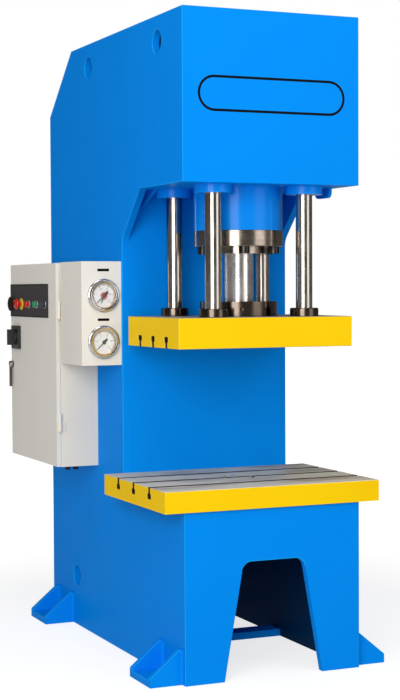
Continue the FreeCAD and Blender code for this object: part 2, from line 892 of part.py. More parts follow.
def ram_flange_screws():
    seat = ram_flange_top - ram_screw_sink
    length = seat - platen_top + ram_screw_thread
    head = (ram_screw_head_radius, ram_screw_head_height, ram_screw_radius)
    places = ring_places(ram_screw_count, ram_screw_circle)
    return [socket_screw(x, y, seat, *head, length, False) for x, y in places]


def platen():
    """The moving platen, with T-slots underneath and sockets for the ram and rods."""
    y0 = axis_y - platen_depth / 2
    slab = box(-platen_width / 2, platen_width / 2, y0, y0 + platen_depth, platen_underside, platen_top)
    slab = cut_all(slab, tee_slots(platen_width, platen_slot_pitch, platen_underside, 1))
    socket_foot = platen_top - ram_spigot
    slab = slab.cut(upright(ram_diameter / 2 + thread_gap, 0, axis_y, socket_foot, platen_top + 1))
    for x, y in ring_places(ram_screw_count, ram_screw_circle):
        thread_end = platen_top - ram_screw_thread - thread_gap
        slab = slab.cut(upright(ram_screw_radius + thread_gap, x, y, thread_end, platen_top + 1))
    for x, y in rod_centres:
        slab = slab.cut(upright(rod_diameter / 2 + thread_gap, x, y, rod_foot, platen_top + 1))
    return slab


def guide_rods():
    """Four chromed rods that rise from the platen through the head's floor."""
    pieces = []
    for x, y in rod_centres:
        bar = upright(rod_diameter / 2, x, y, rod_foot, rod_top)
        rim = edges_where(bar, lambda p: near(p.z, rod_top))
        pieces.append(bar.makeChamfer(rod_chamfer, [e for e in rim if e.Length > rod_diameter]))
    return pieces


def rod_collars():
    """Four steel collars that clamp the rods where they enter the platen."""
    pieces = []
    for x, y in rod_centres:
        top = platen_top + collar_height
        collar = upright(collar_diameter / 2, x, y, platen_top, top)
        rim = [e for e in edges_where(collar, lambda p: near(p.z, top)) if e.Length > collar_diameter]
        collar = collar.makeChamfer(collar_chamfer, rim)
        pieces.append(collar.cut(upright(rod_diameter / 2 + thread_gap, x, y, platen_top - 1, top + 1)))
    return pieces


def rod_stop_rings():
    """Four rings near the rod tops that stop the platen at its lowest point."""
    pieces = []
    top = rod_top - rod_chamfer
    for x, y in rod_centres:
        ring = upright(stop_ring_diameter / 2, x, y, top - stop_ring_height, top)
        pieces.append(
            ring.cut(upright(rod_diameter / 2 + thread_gap, x, y, top - stop_ring_height - 1, top + 1))
        )
    return pieces


# ---------------------------------------------------------------- power unit
def power_shelf():
    y1 = column_rear_y + shelf_depth
    return box(-inner_half, inner_half, column_rear_y, y1, shelf_height, shelf_height + shelf_thickness)


def oil_tank():
    """The open oil tank that stands on the shelf inside the column."""
    z0 = shelf_height + shelf_thickness
    half = tank_width / 2
    y1 = tank_y0 + tank_depth
    outside = box(-half, half, tank_y0, y1, z0, z0 + tank_height)
    inside = box(
        -half + tank_wall, half - tank_wall,
        tank_y0 + tank_wall, y1 - tank_wall,
        z0 + tank_wall, z0 + tank_height + 1
    )
    return outside.cut(inside)


def tank_top():
    return shelf_height + shelf_thickness + tank_height


def tank_lid():
    half = tank_width / 2 + lid_overhang
    y1 = tank_y0 + tank_depth + lid_overhang
    return box(-half, half, tank_y0 - lid_overhang, y1, tank_top(), tank_top() + lid_thickness)


def motor_ends():
    return motor_centre_x - motor_length / 2, motor_centre_x + motor_length / 2


def motor_housing():
    """The motor's casing with its feet; the fan end has a ring of air slots."""
    x0, x1 = motor_ends()
    axis = (motor_y, motor_z)
    case = rod(motor_radius, (x0, *axis), (x1, *axis))
    case = case.cut(rod(motor_radius - motor_wall, (x0 + motor_wall, *axis), (x1 - motor_wall, *axis)))
    case = case.cut(rod(shaft_radius + running_gap, (x0 + motor_wall - 1, *axis), (x1 + 1, *axis)))
    for k in range(air_hole_count):
        angle = 2 * math.pi * k / air_hole_count
        y = motor_y + air_hole_circle / 2 * math.cos(angle)
        z = motor_z + air_hole_circle / 2 * math.sin(angle)
        case = case.cut(rod(motor_wall, (x0 - 1, y, z), (x0 + motor_wall + 1, y, z)))
    lid_face = tank_top() + lid_thickness
    for x in (x0 + motor_length / 4, x1 - motor_length / 4):
        foot = box(
            x - motor_foot_thickness,
            x + motor_foot_thickness,
            motor_y - motor_foot_width / 2,
            motor_y + motor_foot_width / 2,
            lid_face,
            motor_z,
        )
        case = case.fuse(foot.cut(rod(motor_radius - motor_wall / 2, (x0, *axis), (x1, *axis))))
    return case


def motor_rotor():
    """The motor's rotor with its shaft and cooling fan."""
    x0, x1 = motor_ends()
    axis = (motor_y, motor_z)
    fan_x = x0 + motor_wall + fan_gap
    turning = rod(shaft_radius, (fan_x, *axis), (x1 + pump_shaft_depth - 1, *axis))
    core_x = x1 - motor_wall - fan_gap - rotor_length
    turning = turning.fuse(rod(rotor_radius, (core_x, *axis), (core_x + rotor_length, *axis)))
    hub = rod(shaft_radius * 2, (fan_x, *axis), (fan_x + fan_thickness, *axis))
    for k in range(fan_blade_count):
        blade = box(
            fan_x, fan_x + fan_thickness,
            motor_y - motor_wall / 4, motor_y + motor_wall / 4,
            motor_z, motor_z + rotor_radius
        )
        blade.rotate(FreeCAD.Vector(fan_x, *axis), FreeCAD.Vector(1, 0, 0), 360 / fan_blade_count * k)
        hub = hub.fuse(blade)
    return turning.fuse(hub)


def pump():
    """The oil pump on the motor's end, with the bore that its shaft turns in."""
    x1 = motor_ends()[1]
    axis = (motor_y, motor_z)
    body = rod(pump_radius, (x1, *axis), (x1 + pump_length, *axis))
    body = body.cut(rod(shaft_radius + running_gap, (x1 - 1, *axis), (x1 + pump_shaft_depth, *axis)))
    suction = upright(pipe_radius * 1.5, x1 + pump_length / 2, motor_y, tank_top() + lid_thickness, motor_z)
    return body.fuse(suction)


def valve_block_corner():
    return tank_width / 2 - block_width - block_edge, tank_y0 + block_edge


def valve_stack():
    """The drilled valve block and two solenoid valves on top of it."""
    x0, y0 = valve_block_corner()
    z0 = tank_top() + lid_thickness
    pieces = [box(x0, x0 + block_width, y0, y0 + block_depth, z0, z0 + block_height)]
    for k in range(2):
        vx = x0 + block_edge / 2 + k * (valve_width + valve_gap - 2)
        middle_y = y0 + block_depth / 2
        low = z0 + block_height
        valve_y0 = middle_y - valve_length / 2
        pieces.append(box(vx, vx + valve_width, valve_y0, valve_y0 + valve_length, low, low + valve_height))
    return pieces


def hydraulic_pipes():
    """Pipes from the valve block to both cylinder ports, and from the pump to the block."""
    x0, y0 = valve_block_corner()
    block_z = tank_top() + lid_thickness + block_height / 2
    upper_y = y0 + block_edge
    lower_y = y0 + block_depth - block_edge
    top_z = barrel_top + upper_port_rise
    low_z = head_floor + lower_port_rise
    lower_start_z = block_z - 2 * pipe_radius
    lane_x = -pipe_lane
    barrel_rear = axis_y + barrel_diameter / 2
    turn_y = barrel_rear + pipe_lane
    pump_x = motor_ends()[1] + pump_length / 2
    block_rear = y0 + block_depth
    drop_y = block_rear + pump_pipe_reach
    routes = [
        [
            (x0, upper_y, block_z),
            (0, upper_y, block_z),
            (0, upper_y, top_z),
            (0, axis_y, top_z),
            (0, axis_y, barrel_top),
        ],
        [
            (x0, lower_y, lower_start_z),
            (lane_x, lower_y, lower_start_z),
            (lane_x, lower_y, low_z),
            (lane_x, turn_y, low_z),
            (0, turn_y, low_z),
            (0, barrel_rear, low_z),
        ],
        [
            (pump_x, motor_y - pump_radius, motor_z),
            (pump_x, drop_y, motor_z),
            (pump_x, drop_y, block_z),
            (pump_x, block_rear, block_z),
        ],
    ]
    return [bent_pipe(route, pipe_radius, pipe_bend) for route in routes]


# ---------------------------------------------------------------- cabinet
def cabinet_box():
    """The electrical cabinet: a sheet box that opens towards the door, with a lip round its mouth."""
    x0 = door_inner_x + door_gap
    outside = box(x0, -half_width, cabinet_y0, cabinet_y1, cabinet_foot, cabinet_top)
    inside = box(
        x0 + sheet, -half_width - sheet,
        cabinet_y0 + sheet, cabinet_y1 - sheet,
        cabinet_foot + sheet, cabinet_top - sheet
    )
    mouth = box(
        x0 - 1,
        x0 + sheet + 1,
        cabinet_y0 + lip_width,
        cabinet_y1 - lip_width,
        cabinet_foot + lip_width,
        cabinet_top - lip_width,
    )
    case = outside.cut(inside).cut(mouth)
    for x, y in cabinet_gland_places():
        case = case.cut(
            upright(gland_neck_radius + thread_gap, x, y, cabinet_foot - 1, cabinet_foot + sheet + 1)
        )
    for z in (hinge_low_height, hinge_high_height):
        case = case.fuse(hinge_half(z, hinge_leaf_width))
    return case


def hinge_half(z, leaf_reach):
    """The lower half of a hinge: a leaf, a knuckle and the pin that stands in it."""
    half = hinge_height / 2
    knuckle = upright(hinge_radius, hinge_x, hinge_y, z, z + half)
    leaf_y0 = cabinet_y0 - hinge_leaf_thickness
    leaf = box(hinge_x, hinge_x + leaf_reach, leaf_y0, cabinet_y0, z, z + half)
    pin = upright(hinge_pin_radius, hinge_x, hinge_y, z, z + hinge_height)
    return knuckle.fuse(leaf).fuse(pin)


def cabinet_gland_places():
    x = -half_width - cabinet_depth / 2
    return [(x + k * gland_pitch / 2, cabinet_y0 + gland_setback) for k in (-1, 1)]


def cabinet_glands():
    """Two cable glands under the cabinet."""
    pieces = []
    for x, y in cabinet_gland_places():
        nut = prism_z(hexagon(gland_nut_radius * 2, x, y), cabinet_foot - gland_length, cabinet_foot)
        stem = upright(gland_neck_radius, x, y, cabinet_foot, cabinet_foot + sheet * 2)
        pieces.append(nut.fuse(stem))
    return pieces


def gear_plate():
    """The mounting plate inside the cabinet, on four bosses."""
    back = -half_width - sheet
    x1 = back - gear_plate_gap
    margin = gear_plate_margin
    y0, y1 = cabinet_y0 + margin, cabinet_y1 - margin
    z0, z1 = cabinet_foot + margin, cabinet_top - margin
    plate = box(x1 - gear_plate_thickness, x1, y0, y1, z0, z1)
    for y in (y0 + 2 * gear_boss_radius, y1 - 2 * gear_boss_radius):
        for z in (z0 + 2 * gear_boss_radius, z1 - 2 * gear_boss_radius):
            plate = plate.fuse(rod(gear_boss_radius, (x1, y, z), (back, y, z)))
    return plate


def control_gear():
    """Rows of contactors, breakers and terminals on the mounting plate."""
    face = -half_width - sheet - gear_plate_gap - gear_plate_thickness
    middle_y = (cabinet_y0 + cabinet_y1) / 2
    pieces = []
    for row, height in enumerate(rail_heights):
        depth = gear_depth - 12 * row
        for k in range(gear_count):
            y = middle_y + (k - (gear_count - 1) / 2) * gear_pitch
            z = cabinet_foot + height
            pieces.append(
                box(face - depth, face, y - gear_width / 2, y + gear_width / 2, z, z + gear_height)
            )
    return pieces


def cabinet_door():
    """The folded door tray, with the upper halves of its hinges and holes for what it carries."""
    inset = door_gap
    y0, y1 = cabinet_y0 + inset, cabinet_y1 - inset
    z0, z1 = cabinet_foot + inset, cabinet_top - inset
    door = box(door_outer_x, door_inner_x, y0, y1, z0, z1)
    hollow = box(door_outer_x + sheet, door_inner_x + 1, y0 + sheet, y1 - sheet, z0 + sheet, z1 - sheet)
    door = door.cut(hollow)
    for z in (hinge_low_height, hinge_high_height):
        door = door.fuse(door_knuckle(z + hinge_height / 2 + running_gap))
    for y in device_ys:
        door = door.cut(across_door(device_body_radius + thread_gap, y, device_height))
    door = door.cut(across_door(handle_shaft_radius + running_gap, handle_y, handle_pivot_height))
    return door.cut(across_door(handle_shaft_radius + running_gap, isolator_y, isolator_height))


def door_knuckle(z):
    """The upper half of a hinge, fixed to the door's edge."""
    top = z + hinge_height / 2
    knuckle = upright(hinge_radius, hinge_x, hinge_y, z, top)
    leaf_y0 = cabinet_y0 - hinge_leaf_thickness
    leaf = box(door_outer_x + sheet, door_inner_x - sheet, leaf_y0, cabinet_y0 + door_gap, z, top)
    bore = upright(hinge_pin_radius + running_gap, hinge_x, hinge_y, z - 1, top + 1)
    return knuckle.fuse(leaf).cut(bore)


def across_door(radius, y, z):
    """A cutter along X through the door's skin."""
    return rod(radius, (door_outer_x - 2 * isolator_knob_height, y, z), (door_inner_x, y, z))


def control_panel():
    """The black panel on the door, drilled for its devices."""
    plate = box(panel_face_x, door_outer_x, panel_y0, panel_y1, panel_foot, panel_foot + panel_height)
    return cut_all(
        plate, [across_door(device_body_radius + thread_gap, y, device_height) for y in device_ys]
    )


def device_barrels():
    """The fixed bodies of the five control devices, each with a bezel and a contact block."""
    pieces = []
    for y in device_ys:
        bezel_radius = stop_collar_radius if y == emergency_y else device_bezel_radius
        face = panel_face_x - device_bezel_height
        z = device_height
        body = rod(bezel_radius, (face, y, z), (panel_face_x, y, z))
        block_x = door_outer_x + sheet
        body = body.fuse(rod(device_body_radius, (panel_face_x, y, z), (block_x, y, z)))
        half = device_block_width / 2
        body = body.fuse(
            box(block_x, block_x + device_block_length, y - half, y + half, z - half, z + half)
        )
        well_end = block_x + device_block_length / 2
        pieces.append(body.cut(rod(device_stem_radius + running_gap, (face - 1, y, z), (well_end, y, z))))
    return pieces


def device_head(y, radius, height, gap, round_over):
    """A pressed head with its stem; gap is the free travel between head and bezel."""
    z = device_height
    foot_x = panel_face_x - device_bezel_height - gap
    head = rod(radius, (foot_x, y, z), (foot_x - height, y, z))
    if round_over:
        rim = edges_where(head, lambda p: near(p.x, foot_x - height))
        head = head.makeFillet(round_over, [e for e in rim if e.Length > radius])
    stem_end = door_outer_x + sheet + device_block_length / 2 - gap - 1
    return head.fuse(rod(device_stem_radius, (foot_x, y, z), (stem_end, y, z)))


def palm_button():
    return device_head(palm_y, palm_radius, palm_height, palm_travel, palm_height * 0.6)


def emergency_stop():
    gap = mushroom_stem
    return device_head(emergency_y, mushroom_radius, mushroom_height, gap, mushroom_height * 0.35)


def stop_button():
    return device_head(stop_y, button_radius, button_height, button_gap, 1.0)


def start_button():
    return device_head(start_y, button_radius, button_height, button_gap, 1.0)


def mode_selector():
    """The turning selector: a round base with a raised grip."""
    z = device_height
    face = panel_face_x - device_bezel_height - running_gap
    base_end = face - selector_height
    knob = rod(selector_radius, (face, selector_y, z), (base_end, selector_y, z))
    half = selector_grip_width / 2
    reach = selector_radius - 1
    grip_end = base_end - selector_grip_height
    grip = box(grip_end, base_end, selector_y - half, selector_y + half, z - reach, z + reach)
    stem_end = door_outer_x + sheet + device_block_length / 2 - 1
    return knob.fuse(grip).fuse(rod(device_stem_radius, (face, selector_y, z), (stem_end, selector_y, z)))


def isolator_plate():
    """The square plate of the main isolator."""
    half = isolator_size / 2
    x1 = door_outer_x
    plate = box(
        x1 - isolator_thickness,
        x1,
        isolator_y - half,
        isolator_y + half,
        isolator_height - half,
        isolator_height + half,
    )
    return plate.cut(across_door(handle_shaft_radius + running_gap, isolator_y, isolator_height))


def isolator_knob():
    """The isolator's rotary handle and its spindle."""
    y, z = isolator_y, isolator_height
    face = door_outer_x - isolator_thickness - running_gap
    base_end = face - isolator_knob_base
    knob = rod(isolator_knob_radius, (face, y, z), (base_end, y, z))
    grip_end = face - isolator_knob_height
    half = isolator_grip_width / 2
    knob = knob.fuse(
        box(grip_end, base_end, y - half, y + half, z - isolator_knob_radius, z + isolator_knob_radius)
    )
    return knob.fuse(rod(handle_shaft_radius, (face, y, z), (door_inner_x, y, z)))


def door_handle():
    """The door's swing lever, its round head, spindle and locking cam."""
    y, z = handle_y, handle_pivot_height
    face = door_outer_x - running_gap
    head_end = face - handle_head_height
    handle = rod(handle_head_radius, (face, y, z), (head_end, y, z))
    half = handle_width / 2
    lever_x1 = head_end + handle_thickness
    handle = handle.fuse(box(head_end, lever_x1, y - half, y + half, z - handle_length, z))
    cam_x = door_outer_x + sheet + running_gap
    handle = handle.fuse(rod(handle_shaft_radius, (face, y, z), (cam_x + cam_thickness, y, z)))
    return handle.fuse(box(cam_x, cam_x + cam_thickness, y - half, y + half, z - cam_length, z + half))


# ---------------------------------------------------------------- gauge box
def gauge_box():
    """The sheet box in front of the cabinet that holds two gauges."""
    x0 = -half_width - gauge_box_depth
    y1 = gauge_y0 + gauge_box_length
    z0, z1 = gauge_box_foot, gauge_box_foot + gauge_box_height
    outside = box(x0, -half_width, gauge_y0, y1, z0, z1)
    inside = box(x0 + sheet, -half_width + 1, gauge_y0 + sheet, y1 - sheet, z0 + sheet, z1 - sheet)
    case = outside.cut(inside)
    for z in gauge_heights:
        x = gauge_offset
        far_y = gauge_y0 + sheet + 1
        hole = rod(gauge_case_radius + clearance_hole_gap, (x, gauge_y0 - 1, z), (x, far_y, z))
        case = case.cut(hole)
    return case


def gauge_cases():
    """Two gauge casings: a bezel against the box and a cup behind it."""
    pieces = []
    for z in gauge_heights:
        x = gauge_offset
        case = rod(gauge_bezel_radius, (x, gauge_face_y, z), (x, gauge_y0, z))
        case = case.fuse(rod(gauge_case_radius, (x, gauge_y0, z), (x, gauge_y0 + gauge_case_depth, z)))
        window = rod(gauge_window_radius, (x, gauge_face_y - 1, z), (x, gauge_y0 - gauge_floor, z))
        spindle_end = gauge_y0 + gauge_case_depth / 2
        spindle = rod(pointer_shaft_radius + running_gap, (x, gauge_face_y, z), (x, spindle_end, z))
        case = case.cut(window).cut(spindle)
        back = gauge_y0 + gauge_case_depth
        pieces.append(case.fuse(rod(gauge_stem_radius, (x, back, z), (x, back + gauge_stem_length, z))))
    return pieces


def dial_face_y():
    return gauge_y0 - gauge_floor - gauge_dial_thickness


def gauge_dials():
    """Two thin dial discs on the floors of the gauge casings."""
    pieces = []
    for z in gauge_heights:
        x = gauge_offset
        dial = rod(gauge_window_radius - thread_gap, (x, dial_face_y(), z), (x, gauge_y0 - gauge_floor, z))
        pieces.append(
            dial.cut(rod(pointer_shaft_radius + running_gap, (x, gauge_face_y, z), (x, gauge_y0, z)))
        )
    return pieces


def gauge_glasses():
    pieces = []
    for z in gauge_heights:
        y0 = gauge_face_y + gauge_glass_inset
        glass = rod(
            gauge_window_radius - thread_gap, (gauge_offset, y0, z), (gauge_offset, y0 + gauge_glass, z)
        )
        pieces.append(glass)
    return pieces


def needle(gauge, level, length, angle):
    """A gauge needle with its hub; level counts needles up from the dial, angle is from straight up."""
    x = gauge_offset
    z = gauge_heights[gauge]
    y1 = needle_face(level) + pointer_thickness
    y0 = needle_face(level)
    half = pointer_width / 2
    outline = [(x - half, z - pointer_tail), (x + half, z - pointer_tail), (x, z + length)]
    blade = prism_y(outline, y0, y1)
    blade.rotate(FreeCAD.Vector(x, 0, z), FreeCAD.Vector(0, 1, 0), angle)
    return blade.fuse(rod(pointer_hub_radius, (x, y0, z), (x, y1, z)))


def needle_face(level):
    """The front face of the needle at this level above the dial."""
    return dial_face_y() - pointer_lift - level * pointer_step - pointer_thickness


def reading_needle(gauge, top_level):
    """A needle on its spindle, which reaches up to the needle at top_level."""
    x = gauge_offset
    z = gauge_heights[gauge]
    spindle_end = gauge_y0 + gauge_case_depth / 2 - 1
    spindle = rod(pointer_shaft_radius, (x, needle_face(top_level), z), (x, spindle_end, z))
    return needle(gauge, 0, pointer_length, pointer_rest).fuse(spindle)


def set_needle(level, angle):
    """A needle of the upper gauge that is set by hand, and turns freely on the spindle."""
    x = gauge_offset
    z = gauge_heights[0]
    bore = rod(pointer_shaft_radius + running_gap, (x, gauge_face_y, z), (x, gauge_y0, z))
    return needle(0, level, pointer_length, angle).cut(bore)


def main():
    os.makedirs("parts", exist_ok=True)
    save("left_side_plate", cut_all(side_plate(-1), cover_screw_holes()))
    save("right_side_plate", cut_all(side_plate(1), cover_screw_holes()))
    save("head_front_plate", head_front_plate())
    save("head_bottom_plate", head_bottom_plate())
    save("head_top_plate", head_top_plate())
    save("rear_slope_plate", rear_slope_plate())
    save("column_front_plate", column_front_plate())
    save("bed_front_plate", bed_front_plate())
    save("bed_top_plate", bed_top_plate())
    save("base_ties", base_ties())
    save("throat_ribs", throat_ribs())
    save("rear_upper_cover", rear_upper_cover())
    save("rear_lower_cover", rear_lower_cover())
    save("cover_screws", cover_screws())
    save("feet", feet())
    save("table", table())
    save("table_plug", table_plug())
    save("table_bolts", table_bolts())
    save("cylinder_barrel", cylinder_barrel())
    save("cylinder_gland", cylinder_gland())
    save("cylinder_screws", cylinder_screws())
    save("guide_housings", guide_housings())
    save("guide_bushes", guide_bushes())
    save("ram", ram())
    save("ram_flange", ram_flange())
    save("ram_flange_screws", ram_flange_screws())
    save("platen", platen())
    save("guide_rods", guide_rods())
    save("rod_collars", rod_collars())
    save("rod_stop_rings", rod_stop_rings())
    save("power_shelf", power_shelf())
    save("oil_tank", oil_tank())
    save("tank_lid", tank_lid())
    save("motor_housing", motor_housing())
    save("motor_rotor", motor_rotor())
    save("pump", pump())
    save("valve_stack", valve_stack())
    save("hydraulic_pipes", hydraulic_pipes())
    save("cabinet_box", cabinet_box())
    save("cabinet_glands", cabinet_glands())
    save("control_gear", [gear_plate()] + control_gear())
    save("cabinet_door", cabinet_door())
    save("control_panel", control_panel())
    save("device_barrels", device_barrels())
    save("palm_button", palm_button())
    save("emergency_stop", emergency_stop())
    save("stop_button", stop_button())
    save("start_button", start_button())
    save("mode_selector", mode_selector())
    save("isolator_plate", isolator_plate())
    save("isolator_knob", isolator_knob())
    save("door_handle", door_handle())
    save("gauge_box", gauge_box())
    save("gauge_cases", gauge_cases())
    save("gauge_dials", gauge_dials())
    save("gauge_glasses", gauge_glasses())
    save("upper_needle", reading_needle(0, 2))
    save("lower_needle", reading_needle(1, 0))
    save("red_set_needle", set_needle(1, red_pointer_angle))
    save("green_set_needle", set_needle(2, green_pointer_angle))


main()
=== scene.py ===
import math

import bmesh
import bpy
from bpy.props import FloatProperty, FloatVectorProperty, IntProperty, PointerProperty
from mathutils import Matrix, Vector


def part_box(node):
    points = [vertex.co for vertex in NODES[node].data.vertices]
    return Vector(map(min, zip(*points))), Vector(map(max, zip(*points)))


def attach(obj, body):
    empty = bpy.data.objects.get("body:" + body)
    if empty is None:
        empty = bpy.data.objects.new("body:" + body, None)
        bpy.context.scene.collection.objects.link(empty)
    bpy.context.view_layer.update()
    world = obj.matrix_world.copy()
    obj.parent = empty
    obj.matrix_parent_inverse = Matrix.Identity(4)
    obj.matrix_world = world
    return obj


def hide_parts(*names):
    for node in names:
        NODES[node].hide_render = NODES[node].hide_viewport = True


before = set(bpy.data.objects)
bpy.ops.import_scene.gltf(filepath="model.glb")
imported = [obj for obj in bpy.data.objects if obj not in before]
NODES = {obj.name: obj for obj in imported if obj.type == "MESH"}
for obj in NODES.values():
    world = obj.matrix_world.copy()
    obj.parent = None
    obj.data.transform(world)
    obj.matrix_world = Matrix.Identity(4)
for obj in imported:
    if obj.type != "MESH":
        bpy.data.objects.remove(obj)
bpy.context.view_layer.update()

bl_info = {
    "name": "Hydraulic press",
    "version": (1, 0, 0),
    "blender": (4, 5, 0),
    "location": "3D View > Sidebar > Press",
    "description": "Finishes and detail for a C-frame hydraulic press",
    "category": "Add Mesh",
}

MM = 0.001
FINISHES = {}


# ---------------------------------------------------------------- settings

class PRESS_PG_finish(bpy.types.PropertyGroup):
    """Paint colours and finishes"""

    frame_paint: FloatVectorProperty(
        name="Frame paint", description="Gloss paint on the welded frame",
        subtype="COLOR", size=3, min=0.0, max=1.0, default=(0.0015, 0.262, 0.871))
    table_paint: FloatVectorProperty(
        name="Table paint", description="Paint on the edges of the table and the platen",
        subtype="COLOR", size=3, min=0.0, max=1.0, default=(1.0, 0.624, 0.0015))
    cabinet_paint: FloatVectorProperty(
        name="Cabinet paint", description="Powder coat on the switch cabinet and the gauge box",
        subtype="COLOR", size=3, min=0.0, max=1.0, default=(0.87, 0.83, 0.755))
    paint_gloss: FloatProperty(
        name="Paint roughness", description="Roughness of the gloss paints",
        subtype="FACTOR", min=0.0, max=1.0, default=0.34)


class PRESS_PG_sizes(bpy.types.PropertyGroup):
    """Small sizes that the detail is built from"""

    plate_edge: FloatProperty(
        name="Plate edge", description="Rounding of the flame-cut plate edges",
        unit="LENGTH", min=0.0005, max=0.006, default=0.0028)
    machined_edge: FloatProperty(
        name="Machined edge", description="Chamfer on machined edges",
        unit="LENGTH", min=0.0002, max=0.004, default=0.0015)
    sheet_edge: FloatProperty(
        name="Sheet edge", description="Bend radius of the cabinet's folded sheet edges",
        unit="LENGTH", min=0.0005, max=0.005, default=0.0022)
    weld_leg: FloatProperty(
        name="Weld leg", description="Leg of the fillet welds",
        unit="LENGTH", min=0.003, max=0.015, default=0.008)
    round_steps: IntProperty(
        name="Round steps", description="Faces round a turned part",
        min=16, max=128, default=64)


# ---------------------------------------------------------------- finishes

def feed(tree, node, inputs):
    """Sets a node's inputs, or links them where the value is another node's output"""
    for name, value in inputs.items():
        socket = node.inputs[name]
        if isinstance(value, bpy.types.NodeSocket):
            tree.links.new(value, socket)
        elif socket.type == "RGBA":
            socket.default_value = (*value, 1.0)
        else:
            socket.default_value = value


def add(tree, kind, inputs, output=0, **settings):
    """A new node with its inputs and settings, given back as one of its outputs"""
    node = tree.nodes.new("ShaderNode" + kind)
    for name, value in settings.items():
        setattr(node, name, value)
    feed(tree, node, inputs)
    return node.outputs[output]


def start_finish(name):
    """A new material with one shader, given back as its node tree and that shader"""
    material = bpy.data.materials.new(name)
    material.use_nodes = True
    tree = material.node_tree
    tree.nodes.clear()
    output = tree.nodes.new("ShaderNodeOutputMaterial")
    shader = tree.nodes.new("ShaderNodeBsdfPrincipled")
    feed(tree, output, {"Surface": shader.outputs["BSDF"]})
    FINISHES[name] = material
    return tree, shader


def place(tree, stretch=(1, 1, 1)):
    """Object coordinates through a Mapping node"""
    return add(tree, "Mapping", {"Vector": add(tree, "TexCoord", {}, "Object"), "Scale": stretch})


def noise(tree, vector, scale, detail=3.0, rough=0.5):
    """Fractal noise as a value"""
    inputs = {"Vector": vector, "Scale": scale, "Detail": detail, "Roughness": rough}
    return add(tree, "TexNoise", inputs, "Fac")


def spread(tree, value, low, high, source=(0.3, 0.7)):
    """A value moved from its source span to low..high"""
    inputs = {"Value": value, "From Min": source[0], "From Max": source[1], "To Min": low, "To Max": high}
    return add(tree, "MapRange", inputs, "Result")


def mix_colour(tree, factor, first, second):
    """A colour between two colours or sockets"""
    return add(tree, "Mix", {0: factor, 6: first, 7: second}, 2, data_type="RGBA")


def relief(tree, shader, height, depth, strength=1.0):
    """Bump from a height pattern, depth in metres"""
    inputs = {"Strength": strength, "Distance": depth, "Height": height}
    feed(tree, shader, {"Normal": add(tree, "Bump", inputs, "Normal")})


def maths(tree, operation, *values):
    """One Math node on numbers or sockets"""
    return add(tree, "Math", dict(enumerate(values)), operation=operation)


def reach_of(tree, first, second):
    """The length of two parts of a vector together"""
    squares = [maths(tree, "POWER", part, 2.0) for part in (first, second)]
    return maths(tree, "SQRT", maths(tree, "ADD", *squares))


def off_line(tree, value, line):
    """The distance of a value from a line"""
    return maths(tree, "ABSOLUTE", maths(tree, "SUBTRACT", value, line))


def part_of(tree, vector, axis):
    """One of a vector's three parts"""
    return add(tree, "SeparateXYZ", {"Vector": vector}, axis)


def shade_of(colour, share):
    """A colour made darker or lighter by a share"""
    return tuple(min(1.0, max(0.0, c * share)) for c in colour)


def painted_finish(name, colour, roughness, peel=0.00006, peel_scale=260.0, tone=0.02, shine=0.05):
    """Sprayed paint: broad faint tone, fine orange peel, a little uneven gloss"""
    tree, shader = start_finish(name)
    where = place(tree)
    broad = spread(tree, noise(tree, where, 2.4, 2.0), 0.0, 1.0)
    colour_out = mix_colour(tree, broad, shade_of(colour, 1.0 - tone), shade_of(colour, 1.0 + tone))
    relief(tree, shader, noise(tree, where, peel_scale, 2.0, 0.6), peel, 0.55)
    gloss = spread(tree, noise(tree, where, 9.0, 4.0), roughness - 0.05, roughness + 0.07)
    feed(tree, shader, {"Base Color": colour_out, "Roughness": gloss, "Specular IOR Level": shine,
                        "IOR": 1.5 if shine > 0.1 else 1.2})
    return tree, shader


def painted_shade_inside(name, colour, roughness, rise):
    """The frame's paint, with painted shade on the plates' inner faces below a height: much darker there,
    as the shade inside the bed opening
    """
    tree, shader = painted_finish(name, colour, roughness)
    painted = shader.inputs["Base Color"].links[0].from_socket
    # Painted shade: below the rise the inner faces go to a tenth of the paint's colour
    shaded_below = maths(tree, "LESS_THAN", part_of(tree, place(tree), 2), rise)
    feed(tree, shader, {"Base Color": mix_colour(tree, shaded_below, painted, shade_of(colour, 0.10))})


def metal_finish(name, colour, roughness, streak=(6, 6, 240), scratch=0.00004, tone=0.16, dirt=0.0):
    """Bare metal with fine lines along one direction"""
    tree, shader = start_finish(name)
    lines = noise(tree, place(tree, streak), 1.0, 6.0, 0.7)
    cloud = noise(tree, place(tree), 14.0, 5.0, 0.6)
    tint = mix_colour(tree, spread(tree, lines, 0.0, 1.0),
                      shade_of(colour, 1.0 - tone), shade_of(colour, 1.0 + tone))
    if dirt:
        tint = mix_colour(tree, spread(tree, cloud, 0.0, dirt, (0.45, 0.75)), tint, (0.10, 0.075, 0.05))
    gloss = spread(tree, cloud, roughness - 0.06, roughness + 0.10)
    feed(tree, shader, {"Base Color": tint, "Metallic": 1.0, "Roughness": gloss})
    relief(tree, shader, lines, scratch, 0.6)


def plastic_finish(name, colour, roughness, grain=0.00005, grain_scale=900.0, coat=0.0, shine=0.4):
    """Moulded plastic with a fine spark texture"""
    tree, shader = start_finish(name)
    where = place(tree)
    tint = mix_colour(tree, spread(tree, noise(tree, where, 40.0, 3.0), 0.0, 1.0),
                      shade_of(colour, 0.9), shade_of(colour, 1.1))
    relief(tree, shader, noise(tree, where, grain_scale, 2.0), grain, 0.5)
    gloss = spread(tree, noise(tree, where, 60.0, 3.0), roughness - 0.04, roughness + 0.06)
    feed(tree, shader, {"Base Color": tint, "Roughness": gloss, "Specular IOR Level": shine,
                        "Coat Weight": coat, "Coat Roughness": 0.12})


SLOT_REACH = 0.0115        # half a T-slot's mouth and the dark line beside it
SLOT_SPREAD = 1.3          # pitches from the middle within which the three slots lie
PLUG_LINE = 0.0022
SKIN = 0.0012              # depth below a ground face that still counts as the face


